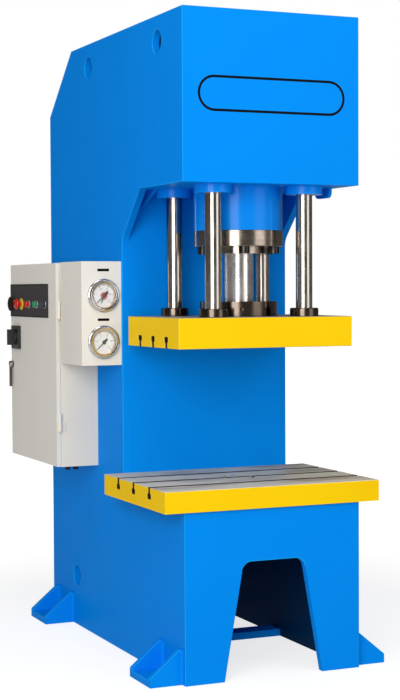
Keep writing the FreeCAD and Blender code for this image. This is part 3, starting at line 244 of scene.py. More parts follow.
def edge_mask(tree, x, y, middle, pitch, plug_radius):
    """One beside the three T-slots, and round the centre plug where there is one"""
    across = off_line(tree, y, middle.y)
    gap = maths(tree, "PINGPONG", across, pitch / 2)
    slots = maths(tree, "LESS_THAN", gap, SLOT_REACH)
    mask = maths(tree, "MULTIPLY", slots, maths(tree, "LESS_THAN", across, pitch * SLOT_SPREAD))
    if plug_radius:
        reach = reach_of(tree, maths(tree, "SUBTRACT", x, middle.x), across)
        ring = maths(tree, "LESS_THAN", off_line(tree, reach, plug_radius), PLUG_LINE)
        mask = maths(tree, "MAXIMUM", mask, ring)
    return mask


def slab_finish(name, box, paint, steel_colour, bare_top, bare_bottom, pitch, plug_radius=0.0):
    """A slab with painted edges, ground faces and T-slots painted near-black as shade"""
    tree, shader = start_finish(name)
    low, high = box
    where = place(tree)
    x, y, z = (part_of(tree, where, axis) for axis in range(3))
    faces = []
    if bare_top:
        faces.append(maths(tree, "GREATER_THAN", z, high.z - SKIN))
    if bare_bottom:
        faces.append(maths(tree, "LESS_THAN", z, low.z + SKIN))
    flat = faces[0] if len(faces) == 1 else maths(tree, "MAXIMUM", faces[0], faces[1])
    inside = None
    for value, first, last in ((x, low.x, high.x), (y, low.y, high.y)):
        off = off_line(tree, value, (first + last) / 2)
        near = maths(tree, "LESS_THAN", off, (last - first) / 2 - SKIN)
        inside = near if inside is None else maths(tree, "MULTIPLY", inside, near)
    slot = maths(tree, "MULTIPLY", inside, maths(tree, "SUBTRACT", 1.0, flat))
    lines = noise(tree, place(tree, (2.0, 240.0, 30.0)), 1.0, 6.0, 0.72)
    cloud = noise(tree, place(tree, (3.0, 9.0, 9.0)), 1.0, 5.0, 0.62)
    steel = mix_colour(tree, spread(tree, lines, 0.0, 1.0),
                       shade_of(steel_colour, 0.72), shade_of(steel_colour, 1.35))
    steel = mix_colour(tree, spread(tree, cloud, 0.0, 0.8, (0.45, 0.75)), steel, (0.17, 0.10, 0.06))
    slotted = maths(tree, "LESS_THAN" if bare_bottom else "GREATER_THAN", z, (low.z + high.z) / 2)
    lined = edge_mask(tree, x, y, (low + high) / 2, pitch, plug_radius)
    steel = mix_colour(tree, maths(tree, "MULTIPLY", slotted, lined), steel, (0.07, 0.04, 0.022))
    tone = mix_colour(tree, spread(tree, noise(tree, where, 2.4, 2.0), 0.0, 1.0),
                      shade_of(paint, 0.96), shade_of(paint, 1.03))
    colour = mix_colour(tree, flat, tone, steel)
    # Painted shade: the T-slots' walls go near-black
    colour = mix_colour(tree, slot, colour, (0.030, 0.024, 0.018))
    feed(tree, shader, {"Base Color": colour, "Metallic": maths(tree, "MULTIPLY", flat, 0.15),
                        "Roughness": spread(tree, cloud, 0.40, 0.52), "Specular IOR Level": 0.06})
    relief(tree, shader, maths(tree, "MULTIPLY", lines, flat), 0.00004, 0.6)


def glass_finish(name):
    """Clear glass with a faint smear"""
    tree, shader = start_finish(name)
    smear = noise(tree, place(tree), 60.0, 4.0)
    feed(tree, shader, {"Base Color": (0.9, 0.95, 0.95), "IOR": 1.5, "Alpha": 0.06,
                        "Roughness": spread(tree, smear, 0.02, 0.07)})


# ---------------------------------------------------------------- building

def write_piece(bm, name, body, finish, replaced=(), smooth=32.0, weighted=False):
    """Turns a bmesh into a finished piece that rides on its body"""
    bmesh.ops.remove_doubles(bm, verts=bm.verts, dist=1e-6)
    mesh = bpy.data.meshes.new(name)
    bm.to_mesh(mesh)
    bm.free()
    piece = bpy.data.objects.new(name, mesh)
    bpy.context.scene.collection.objects.link(piece)
    mesh.materials.append(FINISHES[finish])
    mesh.polygons.foreach_set("use_smooth", [True] * len(mesh.polygons))
    mesh.set_sharp_from_angle(angle=math.radians(smooth))
    if weighted:
        even = piece.modifiers.new("even_normals", "WEIGHTED_NORMAL")
        even.keep_sharp = True
    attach(piece, body)
    if replaced:
        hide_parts(*replaced)
    return piece


def round_edges(bm, edges, width, segments=3):
    """Bevels edges and gives back the new faces"""
    return bmesh.ops.bevel(bm, geom=edges, offset=width, offset_type="OFFSET", segments=segments,
                           profile=0.5, affect="EDGES", clamp_overlap=True, material=-1)["faces"]


def merged_copy(*names):
    """A bmesh copy of CAD nodes with the loose triangles joined into flat faces"""
    bm = bmesh.new()
    for name in names:
        bm.from_mesh(NODES[name].data)
    bmesh.ops.remove_doubles(bm, verts=bm.verts, dist=2e-6)
    bmesh.ops.dissolve_limit(bm, angle_limit=math.radians(0.6), verts=bm.verts, edges=bm.edges,
                             use_dissolve_boundaries=False, delimit={"NORMAL"})
    return bm


def crisp(bm, angle=35.0, chosen=None):
    """Edges that turn by more than an angle, and pass a test"""
    limit = math.radians(angle)
    found = []
    for edge in bm.edges:
        if len(edge.link_faces) != 2:
            continue
        if edge.calc_face_angle(0.0) < limit:
            continue
        if chosen is None or chosen(*(v.co for v in edge.verts)):
            found.append(edge)
    return found


def softened(names, name, body, finish, width, segments=3, chosen=None, angle=35.0, edge_highlight=None):
    """CAD nodes shown with their outside corners rounded, and those corners given another finish as a
    painted highlight
    """
    if isinstance(names, str):
        names = (names,)
    bm = merged_copy(*names)
    corners = round_edges(bm, crisp(bm, angle, chosen), width, segments)
    # The rounded corners take the lighter finish as a painted highlight
    if edge_highlight:
        for face in corners:
            face.material_index = 1
    piece = write_piece(bm, name, body, finish, names, weighted=True)
    if edge_highlight:
        piece.data.materials.append(FINISHES[edge_highlight])
    return piece


def dress(node, finish):
    """Puts a finish on a CAD node that keeps its shape"""
    piece = NODES[node]
    piece.data.materials.clear()
    piece.data.materials.append(FINISHES[finish])


def both(test):
    """A test that both ends of an edge pass"""
    return lambda a, b: test(a) and test(b)


AXES = {"X": (Vector((1, 0, 0)), Vector((0, 0, 1))),
        "Y": (Vector((0, 1, 0)), Vector((0, 0, 1))),
        "Z": (Vector((0, 0, 1)), Vector((1, 0, 0)))}


def turned(bm, profile, centre, axis="Z", closed=False, steps=64, sweep=360.0):
    """Spins a profile of (radius, distance along) round an axis through centre, in millimetres"""
    along, out = AXES[axis]
    middle = Vector(centre) * MM
    verts = [bm.verts.new(middle + (out * r + along * a) * MM) for r, a in profile]
    pairs = list(zip(verts, verts[1:])) + ([(verts[-1], verts[0])] if closed else [])
    edges = [bm.edges.new(pair) for pair in pairs]
    before = set(bm.faces)
    bmesh.ops.spin(bm, geom=verts + edges, cent=middle, axis=along, angle=math.radians(sweep),
                   steps=steps, use_merge=sweep >= 360.0, dvec=(0, 0, 0))
    bmesh.ops.remove_doubles(bm, verts=bm.verts, dist=1e-6)
    fresh = [face for face in bm.faces if face not in before]
    bmesh.ops.recalc_face_normals(bm, faces=fresh)
    return fresh


def turn_about(bm, verts, pivot, degrees, axis="Y"):
    """Turns vertices about an axis through a pivot in millimetres"""
    bmesh.ops.rotate(bm, cent=Vector(pivot) * MM, verts=verts,
                     matrix=Matrix.Rotation(math.radians(degrees), 3, axis))


def verts_in(geometry):
    """The vertices among what an operator made"""
    return [part for part in geometry if isinstance(part, bmesh.types.BMVert)]


def edge_in(geometry):
    """The edge among what an operator made"""
    return next(part for part in geometry if isinstance(part, bmesh.types.BMEdge))


def slab(bm, low, high, turn=0.0, pivot=None, axis="Y"):
    """A cube stretched between two corners in millimetres, turned about an axis through pivot"""
    low, high = Vector(low) * MM, Vector(high) * MM
    made = bmesh.ops.create_cube(bm, size=1.0)["verts"]
    bmesh.ops.scale(bm, vec=high - low, verts=made)
    bmesh.ops.translate(bm, vec=(low + high) / 2, verts=made)
    if turn:
        turn_about(bm, made, pivot, turn, axis)
    return made


def middle_of(node):
    """The middle of a CAD node's box, in millimetres"""
    low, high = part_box(node)
    return (low + high) / 2 / MM


def ends_of(node):
    """The lowest and highest corners of a CAD node, in millimetres"""
    low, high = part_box(node)
    return low / MM, high / MM


# ---------------------------------------------------------------- operators

class PRESS_OT_finishes(bpy.types.Operator):
    """Mixes the paints, metals and plastics"""

    bl_idname = "press.finishes"
    bl_label = "Finishes"

    def execute(self, context):
        look = context.scene.press_finish
        blue = tuple(look.frame_paint)
        yellow = tuple(look.table_paint)
        cream = tuple(look.cabinet_paint)
        gloss = look.paint_gloss
        painted_finish("blue_gloss", blue, gloss)
        painted_finish("blue_lacquer", blue, 0.2, 0.00003, 260.0, 0.02, 0.16)
        # Lighter blue and yellow for rounded corners: painted highlights along the edges
        painted_finish("blue_edge_highlight", (0.012, 0.40, 1.0), gloss, 0.00003)
        painted_finish("yellow_edge_highlight", (1.0, 0.76, 0.16), gloss, 0.00003)
        painted_finish("cabinet_coat", cream, 0.5, 0.00012, 620.0, 0.025, 0.2)
        # Painted light: the cabinet body's cream is warmed to cancel the blue light the frame bounces
        # onto it
        cream_warmed_against_bounce = (cream[0] * 1.05, cream[1], cream[2] * 0.9)
        painted_finish("cabinet_body_coat", cream_warmed_against_bounce, 0.5, 0.00012, 620.0, 0.025, 0.2)
        painted_shade_inside("blue_side_painted_shade", blue, gloss, 0.53)
        painted_finish("grey_enamel", (0.16, 0.17, 0.18), 0.42)
        painted_finish("panel_black", (0.07, 0.066, 0.066), 0.5, 0.00005, 900.0)
        metal_finish("ground_steel", (0.42, 0.40, 0.37), 0.3, (3, 240, 30))
        metal_finish("hard_chrome", (0.53, 0.485, 0.44), 0.16, (90, 90, 5), 0.00001, 0.12)
        metal_finish("turned_steel", (0.40, 0.335, 0.28), 0.19, (12, 12, 420), 0.00001, 0.18, 0.5)
        metal_finish("black_oxide", (0.05, 0.046, 0.043), 0.3, (60, 60, 60), 0.00004, 0.3)
        metal_finish("bronze", (0.50, 0.30, 0.12), 0.3, (30, 30, 300))
        metal_finish("bright_bezel", (0.72, 0.70, 0.68), 0.12, (160, 20, 160), 0.00002, 0.12)
        metal_finish("brass_ring", (0.80, 0.50, 0.16), 0.2, (160, 20, 160), 0.00002, 0.15)
        plastic_finish("sign_black", (0.004, 0.004, 0.004), 0.5, 0.00001, shine=0.05)
        plastic_finish("olive_plastic", (0.40, 0.46, 0.02), 0.35)
        plastic_finish("plum_plastic", (0.022, 0.009, 0.006), 0.45, shine=0.12)
        plastic_finish("navy_plastic", (0.018, 0.026, 0.05), 0.25, coat=0.5)
        metal_finish("ram_chrome", (0.80, 0.77, 0.74), 0.24, (160, 160, 4), 0.00002, 0.22)
        metal_finish("satin_ring", (0.84, 0.83, 0.80), 0.4, (40, 40, 40), 0.00002, 0.08)
        metal_finish("dark_turned", (0.13, 0.10, 0.08), 0.17, (12, 12, 420), 0.00001, 0.18, 0.4)
        plastic_finish("dial_print", (0.015, 0.015, 0.02), 0.5, 0.00001, shine=0.05)
        plastic_finish("dial_red_print", (0.55, 0.05, 0.05), 0.5, 0.00001)
        metal_finish("cast_alloy", (0.38, 0.38, 0.39), 0.5, (60, 60, 60), 0.0001, 0.2)
        plastic_finish("black_plastic", (0.018, 0.018, 0.019), 0.34, coat=0.3)
        plastic_finish("grey_plastic", (0.12, 0.13, 0.15), 0.38)
        plastic_finish("red_plastic", (0.62, 0.012, 0.008), 0.3, coat=0.4)
        plastic_finish("green_plastic", (0.01, 0.30, 0.12), 0.3, coat=0.4)
        plastic_finish("yellow_plastic", (0.95, 0.62, 0.01), 0.35)
        plastic_finish("dial_card", (0.95, 0.94, 0.93), 0.6, 0.00001, shine=0.1)
        plastic_finish("needle_black", (0.006, 0.006, 0.006), 0.4, shine=0.1)
        plastic_finish("needle_red", (0.75, 0.008, 0.01), 0.4, shine=0.1)
        plastic_finish("needle_green", (0.004, 0.10, 0.035), 0.4, shine=0.1)
        glass_finish("gauge_glass")
        slab_finish("platen_coat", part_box("platen"), yellow, (0.40, 0.37, 0.33), True, True, 0.115)
        # Painted light: the table's ground steel is far lighter and warmer than the platen's, standing in
        # for light its top lacks
        slab_finish("table_coat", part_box("table"), yellow, (1.0, 0.79, 0.60), True, False, 0.140, 0.050)
        return {"FINISHED"}


PLAIN_NODES = {
    "blue_gloss": (
        "head_bottom_plate", "head_top_plate", "rear_slope_plate", "column_front_plate",
        "bed_top_plate", "base_ties", "throat_ribs", "rear_upper_cover", "rear_lower_cover",
        "power_shelf"),
    "blue_lacquer": ("cylinder_barrel", "guide_housings"),
    "grey_enamel": ("oil_tank", "tank_lid", "motor_housing", "pump"),
    "cast_alloy": ("valve_stack", "motor_rotor"),
    "black_oxide": ("cylinder_screws", "ram_flange_screws", "table_bolts", "cover_screws",
                    "rod_stop_rings"),
    "hard_chrome": ("guide_rods",),
    "ram_chrome": ("ram",),
    "bronze": ("guide_bushes",),
    "ground_steel": ("hydraulic_pipes",),
    "black_plastic": ("cabinet_glands",),
    "grey_plastic": ("control_gear",),
}


class PRESS_OT_plain_nodes(bpy.types.Operator):
    """Puts a finish on each CAD node that keeps its shape"""

    bl_idname = "press.plain_nodes"
    bl_label = "Plain parts"

    def execute(self, context):
        for finish, names in PLAIN_NODES.items():
            for name in names:
                dress(name, finish)
        return {"FINISHED"}


class PRESS_OT_frame_plates(bpy.types.Operator):
    """The welded frame's plates with softened outside corners"""

    bl_idname = "press.frame_plates"
    bl_label = "Frame plates"

    def execute(self, context):
        sizes = context.scene.press_sizes
        for side, sign in (("left", -1), ("right", 1)):
            node = side + "_side_plate"
            low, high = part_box(node)
            outer = low.x if sign < 0 else high.x
            # The outer face's rounded edges get a painted highlight
            skin = softened(node, node + "_skin", "frame", "blue_gloss",
                            sizes.plate_edge, 3, both(lambda p, outer=outer: abs(p.x - outer) < 1e-4),
                            edge_highlight="blue_edge_highlight")
            skin.data.materials.append(FINISHES["blue_side_painted_shade"])
            # The plates' inner faces take the finish with painted shade low in the bed opening
            for face in skin.data.polygons:
                if face.normal.x * sign < -0.9:
                    face.material_index = 2
        low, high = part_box("bed_front_plate")

        def cut_out(p):
            between = low.z + 0.001 < p.z < high.z - 0.05
            return abs(p.y - low.y) < 1e-4 and abs(p.x) < high.x - 0.004 and between

        # The cut-out's rounded edges get a painted highlight
        softened("bed_front_plate", "bed_front_skin", "frame", "blue_gloss",
                 sizes.plate_edge, 3, both(cut_out), edge_highlight="blue_edge_highlight")
        for node in ("head_front_plate", "column_front_plate"):
            dress(node, "blue_gloss")
        return {"FINISHED"}


class PRESS_OT_head_oval(bpy.types.Operator):
    """A plain painted oval line on the front of the head, with nothing in it"""

    bl_idname = "press.head_oval"
    bl_label = "Head oval"

    def execute(self, context):
        low = ends_of("head_front_plate")[0]
        rise, outer, line, straight = 281.0, 57.0, 8.0, 205.0
        proud, depth = 0.3, 0.3
        face, middle = low.y - proud, low.z + rise
        bm = bmesh.new()
        first = [bm.verts.new(Vector((straight, face, middle + r)) * MM) for r in (outer, outer - line)]
        edge = bm.edges.new(first)
        for sign in (1, -1):
            centre = Vector((sign * straight, face, middle)) * MM
            made = bmesh.ops.spin(bm, geom=[*edge.verts, edge], cent=centre, axis=(0, 1, 0),
                                  angle=math.pi, steps=24, use_merge=False, dvec=(0, 0, 0))
            run = bmesh.ops.extrude_edge_only(bm, edges=[edge_in(made["geom_last"])])["geom"]
            bmesh.ops.translate(bm, vec=Vector((-sign * 2 * straight, 0, 0)) * MM, verts=verts_in(run))
            edge = edge_in(run)
        bmesh.ops.remove_doubles(bm, verts=bm.verts, dist=1e-5)
        grown = bmesh.ops.extrude_face_region(bm, geom=list(bm.faces))["geom"]
        bmesh.ops.translate(bm, vec=(0, depth * MM, 0), verts=verts_in(grown))
        bmesh.ops.recalc_face_normals(bm, faces=bm.faces)
        write_piece(bm, "head_oval_line", "frame", "sign_black")
        return {"FINISHED"}


class PRESS_OT_platen_and_table(bpy.types.Operator):
    """The yellow platen and the slotted table"""

    bl_idname = "press.platen_and_table"
    bl_label = "Platen and table"

    def execute(self, context):
        sizes = context.scene.press_sizes
        for node, name, body, coat in (("platen", "platen_slab", "ram_unit", "platen_coat"),
                                       ("table", "table_slab", "frame", "table_coat")):
            slab_piece = softened(node, name, body, coat, sizes.machined_edge, 3)
            # The vertical corner roundings take the lighter yellow as a painted highlight
            slab_piece.data.materials.append(FINISHES["yellow_edge_highlight"])
            for face in slab_piece.data.polygons:
                if abs(face.normal.x) > 0.2 and abs(face.normal.y) > 0.2:
                    face.material_index = 1
        dress("table_plug", "table_coat")
        return {"FINISHED"}


class PRESS_OT_turned_rings(bpy.types.Operator):
    """The cylinder gland, the ram's flange and the rod collars with broken edges"""

    bl_idname = "press.turned_rings"
    bl_label = "Turned rings"

    def execute(self, context):
        edge = context.scene.press_sizes.machined_edge
        for node, name, body, finish, slot in (
                ("cylinder_gland", "gland_ring", "frame", "turned_steel", "dark_steel"),
                ("ram_flange", "ram_foot_ring", "ram_unit", "dark_turned", "dark_steel")):
            low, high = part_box(node)
            middle, reach = (low + high) / 2, (high.x - low.x) / 2
            rim = lambda p, middle=middle, reach=reach: (p.xy - middle.xy).length > reach - 0.001
            softened(node, name, body, finish, edge, 3, both(rim), 50.0)
        softened("rod_collars", "rod_foot_collars", "ram_unit", "dark_turned", edge, 3,
                 None, 50.0)
        return {"FINISHED"}


def weld_bead(bm, start, end, first, second, leg):
    """A rippled bead in millimetres, in the corner between two directions"""
    start, end, first, second = (Vector(value) for value in (start, end, first, second))
    steps = max(3, round((end - start).length / 4.0))
    along = (end - start) / steps
    bead = bmesh.new()
    corners = [start - (first + second) * 0.5, start + first * leg,
               start + (first + second) * leg * 0.62, start + second * leg]
    face = bead.faces.new([bead.verts.new(corner * MM) for corner in corners])
    for step in range(steps):
        grown = bmesh.ops.extrude_face_region(bead, geom=[face])["geom"]
        verts = verts_in(grown)
        face = next(f for f in grown if isinstance(f, bmesh.types.BMFace))
        bmesh.ops.translate(bead, vec=along * MM, verts=verts)
        swell = 1.16 if step % 2 == 0 else 1 / 1.16
        at = Matrix.Translation(-(start + along * (step + 1)) * MM)
        bmesh.ops.scale(bead, vec=(swell, swell, swell), space=at, verts=verts)
    bmesh.ops.recalc_face_normals(bead, faces=bead.faces)
    mesh = bpy.data.meshes.new("bead")
    bead.to_mesh(mesh)
    bead.free()
    bm.from_mesh(mesh)
    bpy.data.meshes.remove(mesh)


class PRESS_OT_feet(bpy.types.Operator):
    """The foot brackets with eased edges, and the welds that hold them and the throat ribs"""

    bl_idname = "press.feet"
    bl_label = "Feet and welds"

    def execute(self, context):
        sizes = context.scene.press_sizes
        wall = abs(ends_of("left_side_plate")[0].x)

        def free(p):
            return abs(p.x) > wall * MM + 0.0005 and p.z > 0.0005

        # The feet's rounded free edges get a painted highlight
        softened("feet", "feet_skin", "frame", "blue_gloss", sizes.machined_edge, 2,
                 both(free), 40.0, edge_highlight="blue_edge_highlight")
        bm = bmesh.new()
        leg = sizes.weld_leg / MM
        self.weld_feet(bm, wall, leg)
        self.weld_ribs(bm, leg)
        write_piece(bm, "weld_beads", "frame", "blue_gloss", smooth=60.0)
        return {"FINISHED"}

    def weld_feet(self, bm, wall, leg):
        """Beads up both faces of each gusset and along each base plate"""
        plate, gusset, end = 22.0, 20.0, 2.0
        for first, last in self.islands("feet"):
            side = -1 if first.x < 0 else 1
            face, out = side * wall, (side, 0, 0)
            base, top = first.z + plate, last.z - end
            inner_first, inner_last = first.y + gusset, last.y - gusset
            for y, outward in ((first.y, -1), (last.y, 1)):
                weld_bead(bm, (face, y, first.z + end), (face, y, top), out, (0, outward, 0), leg)
            for y, inward in ((inner_first, 1), (inner_last, -1)):
                weld_bead(bm, (face, y, base), (face, y, top), out, (0, inward, 0), leg)
            weld_bead(bm, (face, inner_first, base), (face, inner_last, base), out, (0, 0, 1), leg)

    def weld_ribs(self, bm, leg):
        """Beads down the back and along the top of each throat rib"""
        shortest_rib, end = 100.0, 6.0
        for first, last in self.islands("throat_ribs"):
            if last.z - first.z < shortest_rib:
                continue
            back, top = last.y, last.z
            for x, outward in ((first.x, -1), (last.x, 1)):
                out = (outward, 0, 0)
                weld_bead(bm, (x, back, first.z + end), (x, back, top - end), (0, -1, 0), out, leg)
                weld_bead(bm, (x, first.y + end, top), (x, back - end, top), (0, 0, -1), out, leg)

    def islands(self, node):
        """The corners, in millimetres, of each separate solid of a CAD node"""
        bm = merged_copy(node)
        left, found = dict.fromkeys(bm.verts), []
        while left:
            stack = [left.popitem()[0]]
            group = list(stack)
            while stack:
                for edge in stack.pop().link_edges:
                    for vert in edge.verts:
                        if vert in left:
                            del left[vert]
                            stack.append(vert)
                            group.append(vert)
            spots = [vert.co / MM for vert in group]
            found.append(tuple(Vector(pick(spot[axis] for spot in spots) for axis in range(3))
                               for pick in (min, max)))
        bm.free()
        return found


def gauge_places():
    """Centre (x, z) of the upper and the lower gauge, and the Y of their faces, in millimetres"""
    low, high = ends_of("gauge_cases")
    x = (low.x + high.x) / 2
    reach = (high.x - low.x) / 2
    return {"upper": (x, high.z - reach), "lower": (x, low.z + reach)}, low.y, reach


class PRESS_OT_gauges(bpy.types.Operator):
    """The two pressure gauges: stepped bezels, printed dials and needles"""

    bl_idname = "press.gauges"
    bl_label = "Gauges"

    def execute(self, context):
        steps = context.scene.press_sizes.round_steps
        places, face, reach = gauge_places()
        dial_low, dial_high = ends_of("gauge_dials")
        dial_face, dial_back = dial_low.y, dial_high.y
        case_back = ends_of("gauge_cases")[1].y
        bezel_bore, card_rim, lens_rim = 42.4, 42.3, 42.2
        pot, pot_end, stem = 48.9, 46.0, 9.0
        bezel = [
            (bezel_bore, dial_face + 0.6), (bezel_bore, face + 3.6), (43.4, face + 1.6),
            (46.6, face + 0.4), (50.4, face), (53.0, face + 0.9), (54.0, face + 3.0),
            (54.4, face + 6.4), (55.2, face + 6.8), (56.8, face + 7.6), (reach, face + 9.4),
            (reach, face + 13.2), (reach - 0.8, face + 14.0), (pot, face + 14.0),
            (pot, case_back - 32.0), (pot_end, case_back - 30.0), (stem, case_back - 30.0),
            (stem, case_back), (0.0, case_back)]
        ring = [(40.2, dial_face - 0.1), (41.2, face + 5.0), (card_rim, face + 3.9),
                (card_rim, dial_face + 0.3)]
        card = [(0.0, dial_face), (card_rim, dial_face), (card_rim, dial_back), (0.0, dial_back)]
        lens = [(0.0, face + 1.9), (28.0, face + 1.75), (lens_rim, face + 1.9),
                (lens_rim, face + 3.4), (0.0, face + 3.4)]
        bezels, rings, dials, prints, red_prints, glasses = (bmesh.new() for _ in range(6))
        for x, z in places.values():
            centre = (x, 0, z)
            turned(bezels, bezel, centre, "Y", steps=steps)
            turned(rings, ring, centre, "Y", closed=True, steps=steps)
            turned(dials, card, centre, "Y", steps=steps)
            turned(glasses, lens, centre, "Y", steps=steps)
            self.print_scale(prints, red_prints, x, z, dial_face)
        write_piece(bezels, "gauge_bezels", "frame", "bright_bezel", ("gauge_cases",))
        write_piece(rings, "gauge_inner_rings", "frame", "brass_ring")
        write_piece(dials, "gauge_dial_cards", "frame", "dial_card", ("gauge_dials",))
        write_piece(prints, "gauge_dial_print", "frame", "dial_print")
        write_piece(red_prints, "gauge_dial_red_print", "frame", "dial_red_print")
        write_piece(glasses, "gauge_lenses", "frame", "gauge_glass", ("gauge_glasses",))
        self.needles(places)
        self.labels(places)
        return {"FINISHED"}

    def print_scale(self, bm, red, x, z, dial_face):
        """Division marks, an arc and plain numbers, a hair above the card"""
        start, sweep, divisions, figures = -135.0, 270.0, 50, 5
        mark_end, arc_inner, arc_outer, figure_reach, figure_size = 38.4, 38.2, 39.2, 25.0, 7.5
        top, sunk = dial_face - 0.12, dial_face + 0.1
        for k in range(divisions + 1):
            turn = start + sweep * k / divisions
            inner, half = 35.0, 0.34
            if k % 10 == 0:
                inner, half = 31.0, 0.8
            elif k % 5 == 0:
                inner, half = 33.6, 0.55
            target = red if k % 10 == 5 else bm
            slab(target, (x - half, top, z + inner), (x + half, sunk, z + mark_end), turn, (x, 0, z))
        arc = [(arc_inner, top), (arc_outer, top), (arc_outer, sunk), (arc_inner, sunk)]
        made = turned(bm, arc, (x, 0, z), "Y", closed=True, steps=54, sweep=sweep)
        turn_about(bm, list({v for face in made for v in face.verts}), (x, 0, z), start)
        for k in range(figures + 1):
            angle = math.radians(start + sweep / figures * k)
            self.number(bm, str(k * 5), x + figure_reach * math.sin(angle), top,
                        z + figure_reach * math.cos(angle), figure_size)

    def number(self, bm, words, x, y, z, size):
        """Plain figures made a flat mesh that faces forward"""
        curve = bpy.data.curves.new("figures", "FONT")
        curve.body = words
        curve.size = size * MM
        curve.align_x = "CENTER"
        curve.align_y = "CENTER"
        curve.resolution_u = 2
        shape = bpy.data.objects.new("figures", curve)
        mesh = shape.to_mesh()
        upright = Matrix.Rotation(math.radians(90.0), 4, "X")
        mesh.transform(Matrix.Translation(Vector((x, y, z)) * MM) @ upright)
        bm.from_mesh(mesh)
        shape.to_mesh_clear()
        bpy.data.objects.remove(shape)
        bpy.data.curves.remove(curve)

    def needles(self, places):
        """Tapered hands with a round hub and a counterweight"""
        hands = (("upper_needle", "upper", -135.0, "needle_black", 36.0, 5.4, 17.0, 5.0),
                 ("red_set_needle", "upper", 42.0, "needle_red", 22.0, 13.0, 8.0, 11.5),
                 ("green_set_needle", "upper", -158.0, "needle_green", 30.0, 7.0, 6.0, 5.5),
                 ("lower_needle", "lower", -135.0, "needle_black", 36.0, 4.6, 16.0, 7.0))
        thickness, taper, pin = 0.8, 0.18, 1.5
        for node, gauge, turn, finish, length, width, tail, hub in hands:
            x, z = places[gauge]
            low, high = ends_of(node)
            near = low.y
            back = near + thickness
            bm = bmesh.new()
            blade = slab(bm, (x - width / 2, near, z), (x + width / 2, back, z + length))
            tip = [v for v in blade if v.co.z > (z + length - 1.0) * MM]
            bmesh.ops.scale(bm, vec=(taper, 1.0, 1.0), verts=tip,
                            space=Matrix.Translation(Vector((-x, 0, -z)) * MM))
            slab(bm, (x - width * 0.9, near, z - tail), (x + width * 0.9, back, z))
            turn_about(bm, bm.verts, (x, 0, z), turn)
            turned(bm, [(0.0, near - 0.1), (hub - 0.6, near - 0.1), (hub, near + 0.2), (hub, back),
                        (0.0, back)], (x, 0, z), "Y", steps=32)
            if node in ("upper_needle", "lower_needle"):
                turned(bm, [(0.0, back), (pin, back), (pin, high.y), (0.0, high.y)], (x, 0, z), "Y",
                       steps=16)
            write_piece(bm, node + "_hand", node, finish, (node,))

    def labels(self, places):
        """Blank black label strips above each gauge"""
        half_long, half_high, corner = 21.0, 4.5, 1.5
        front = ends_of("gauge_box")[0].y
        bm = bmesh.new()
        for (x, z), rise in zip(places.values(), (88.0, 78.0)):
            made = slab(bm, (x - half_long, front - 0.5, z + rise - half_high),
                        (x + half_long, front + 0.3, z + rise + half_high))
            edges = dict.fromkeys(e for v in made for e in v.link_edges)
            upright = [e for e in edges if abs(e.verts[0].co.y - e.verts[1].co.y) > 1e-5]
            round_edges(bm, upright, corner * MM, 3)
        write_piece(bm, "gauge_label_strips", "frame", "sign_black")


STEM = 6.9                 # radius of the push buttons' stems, in millimetres


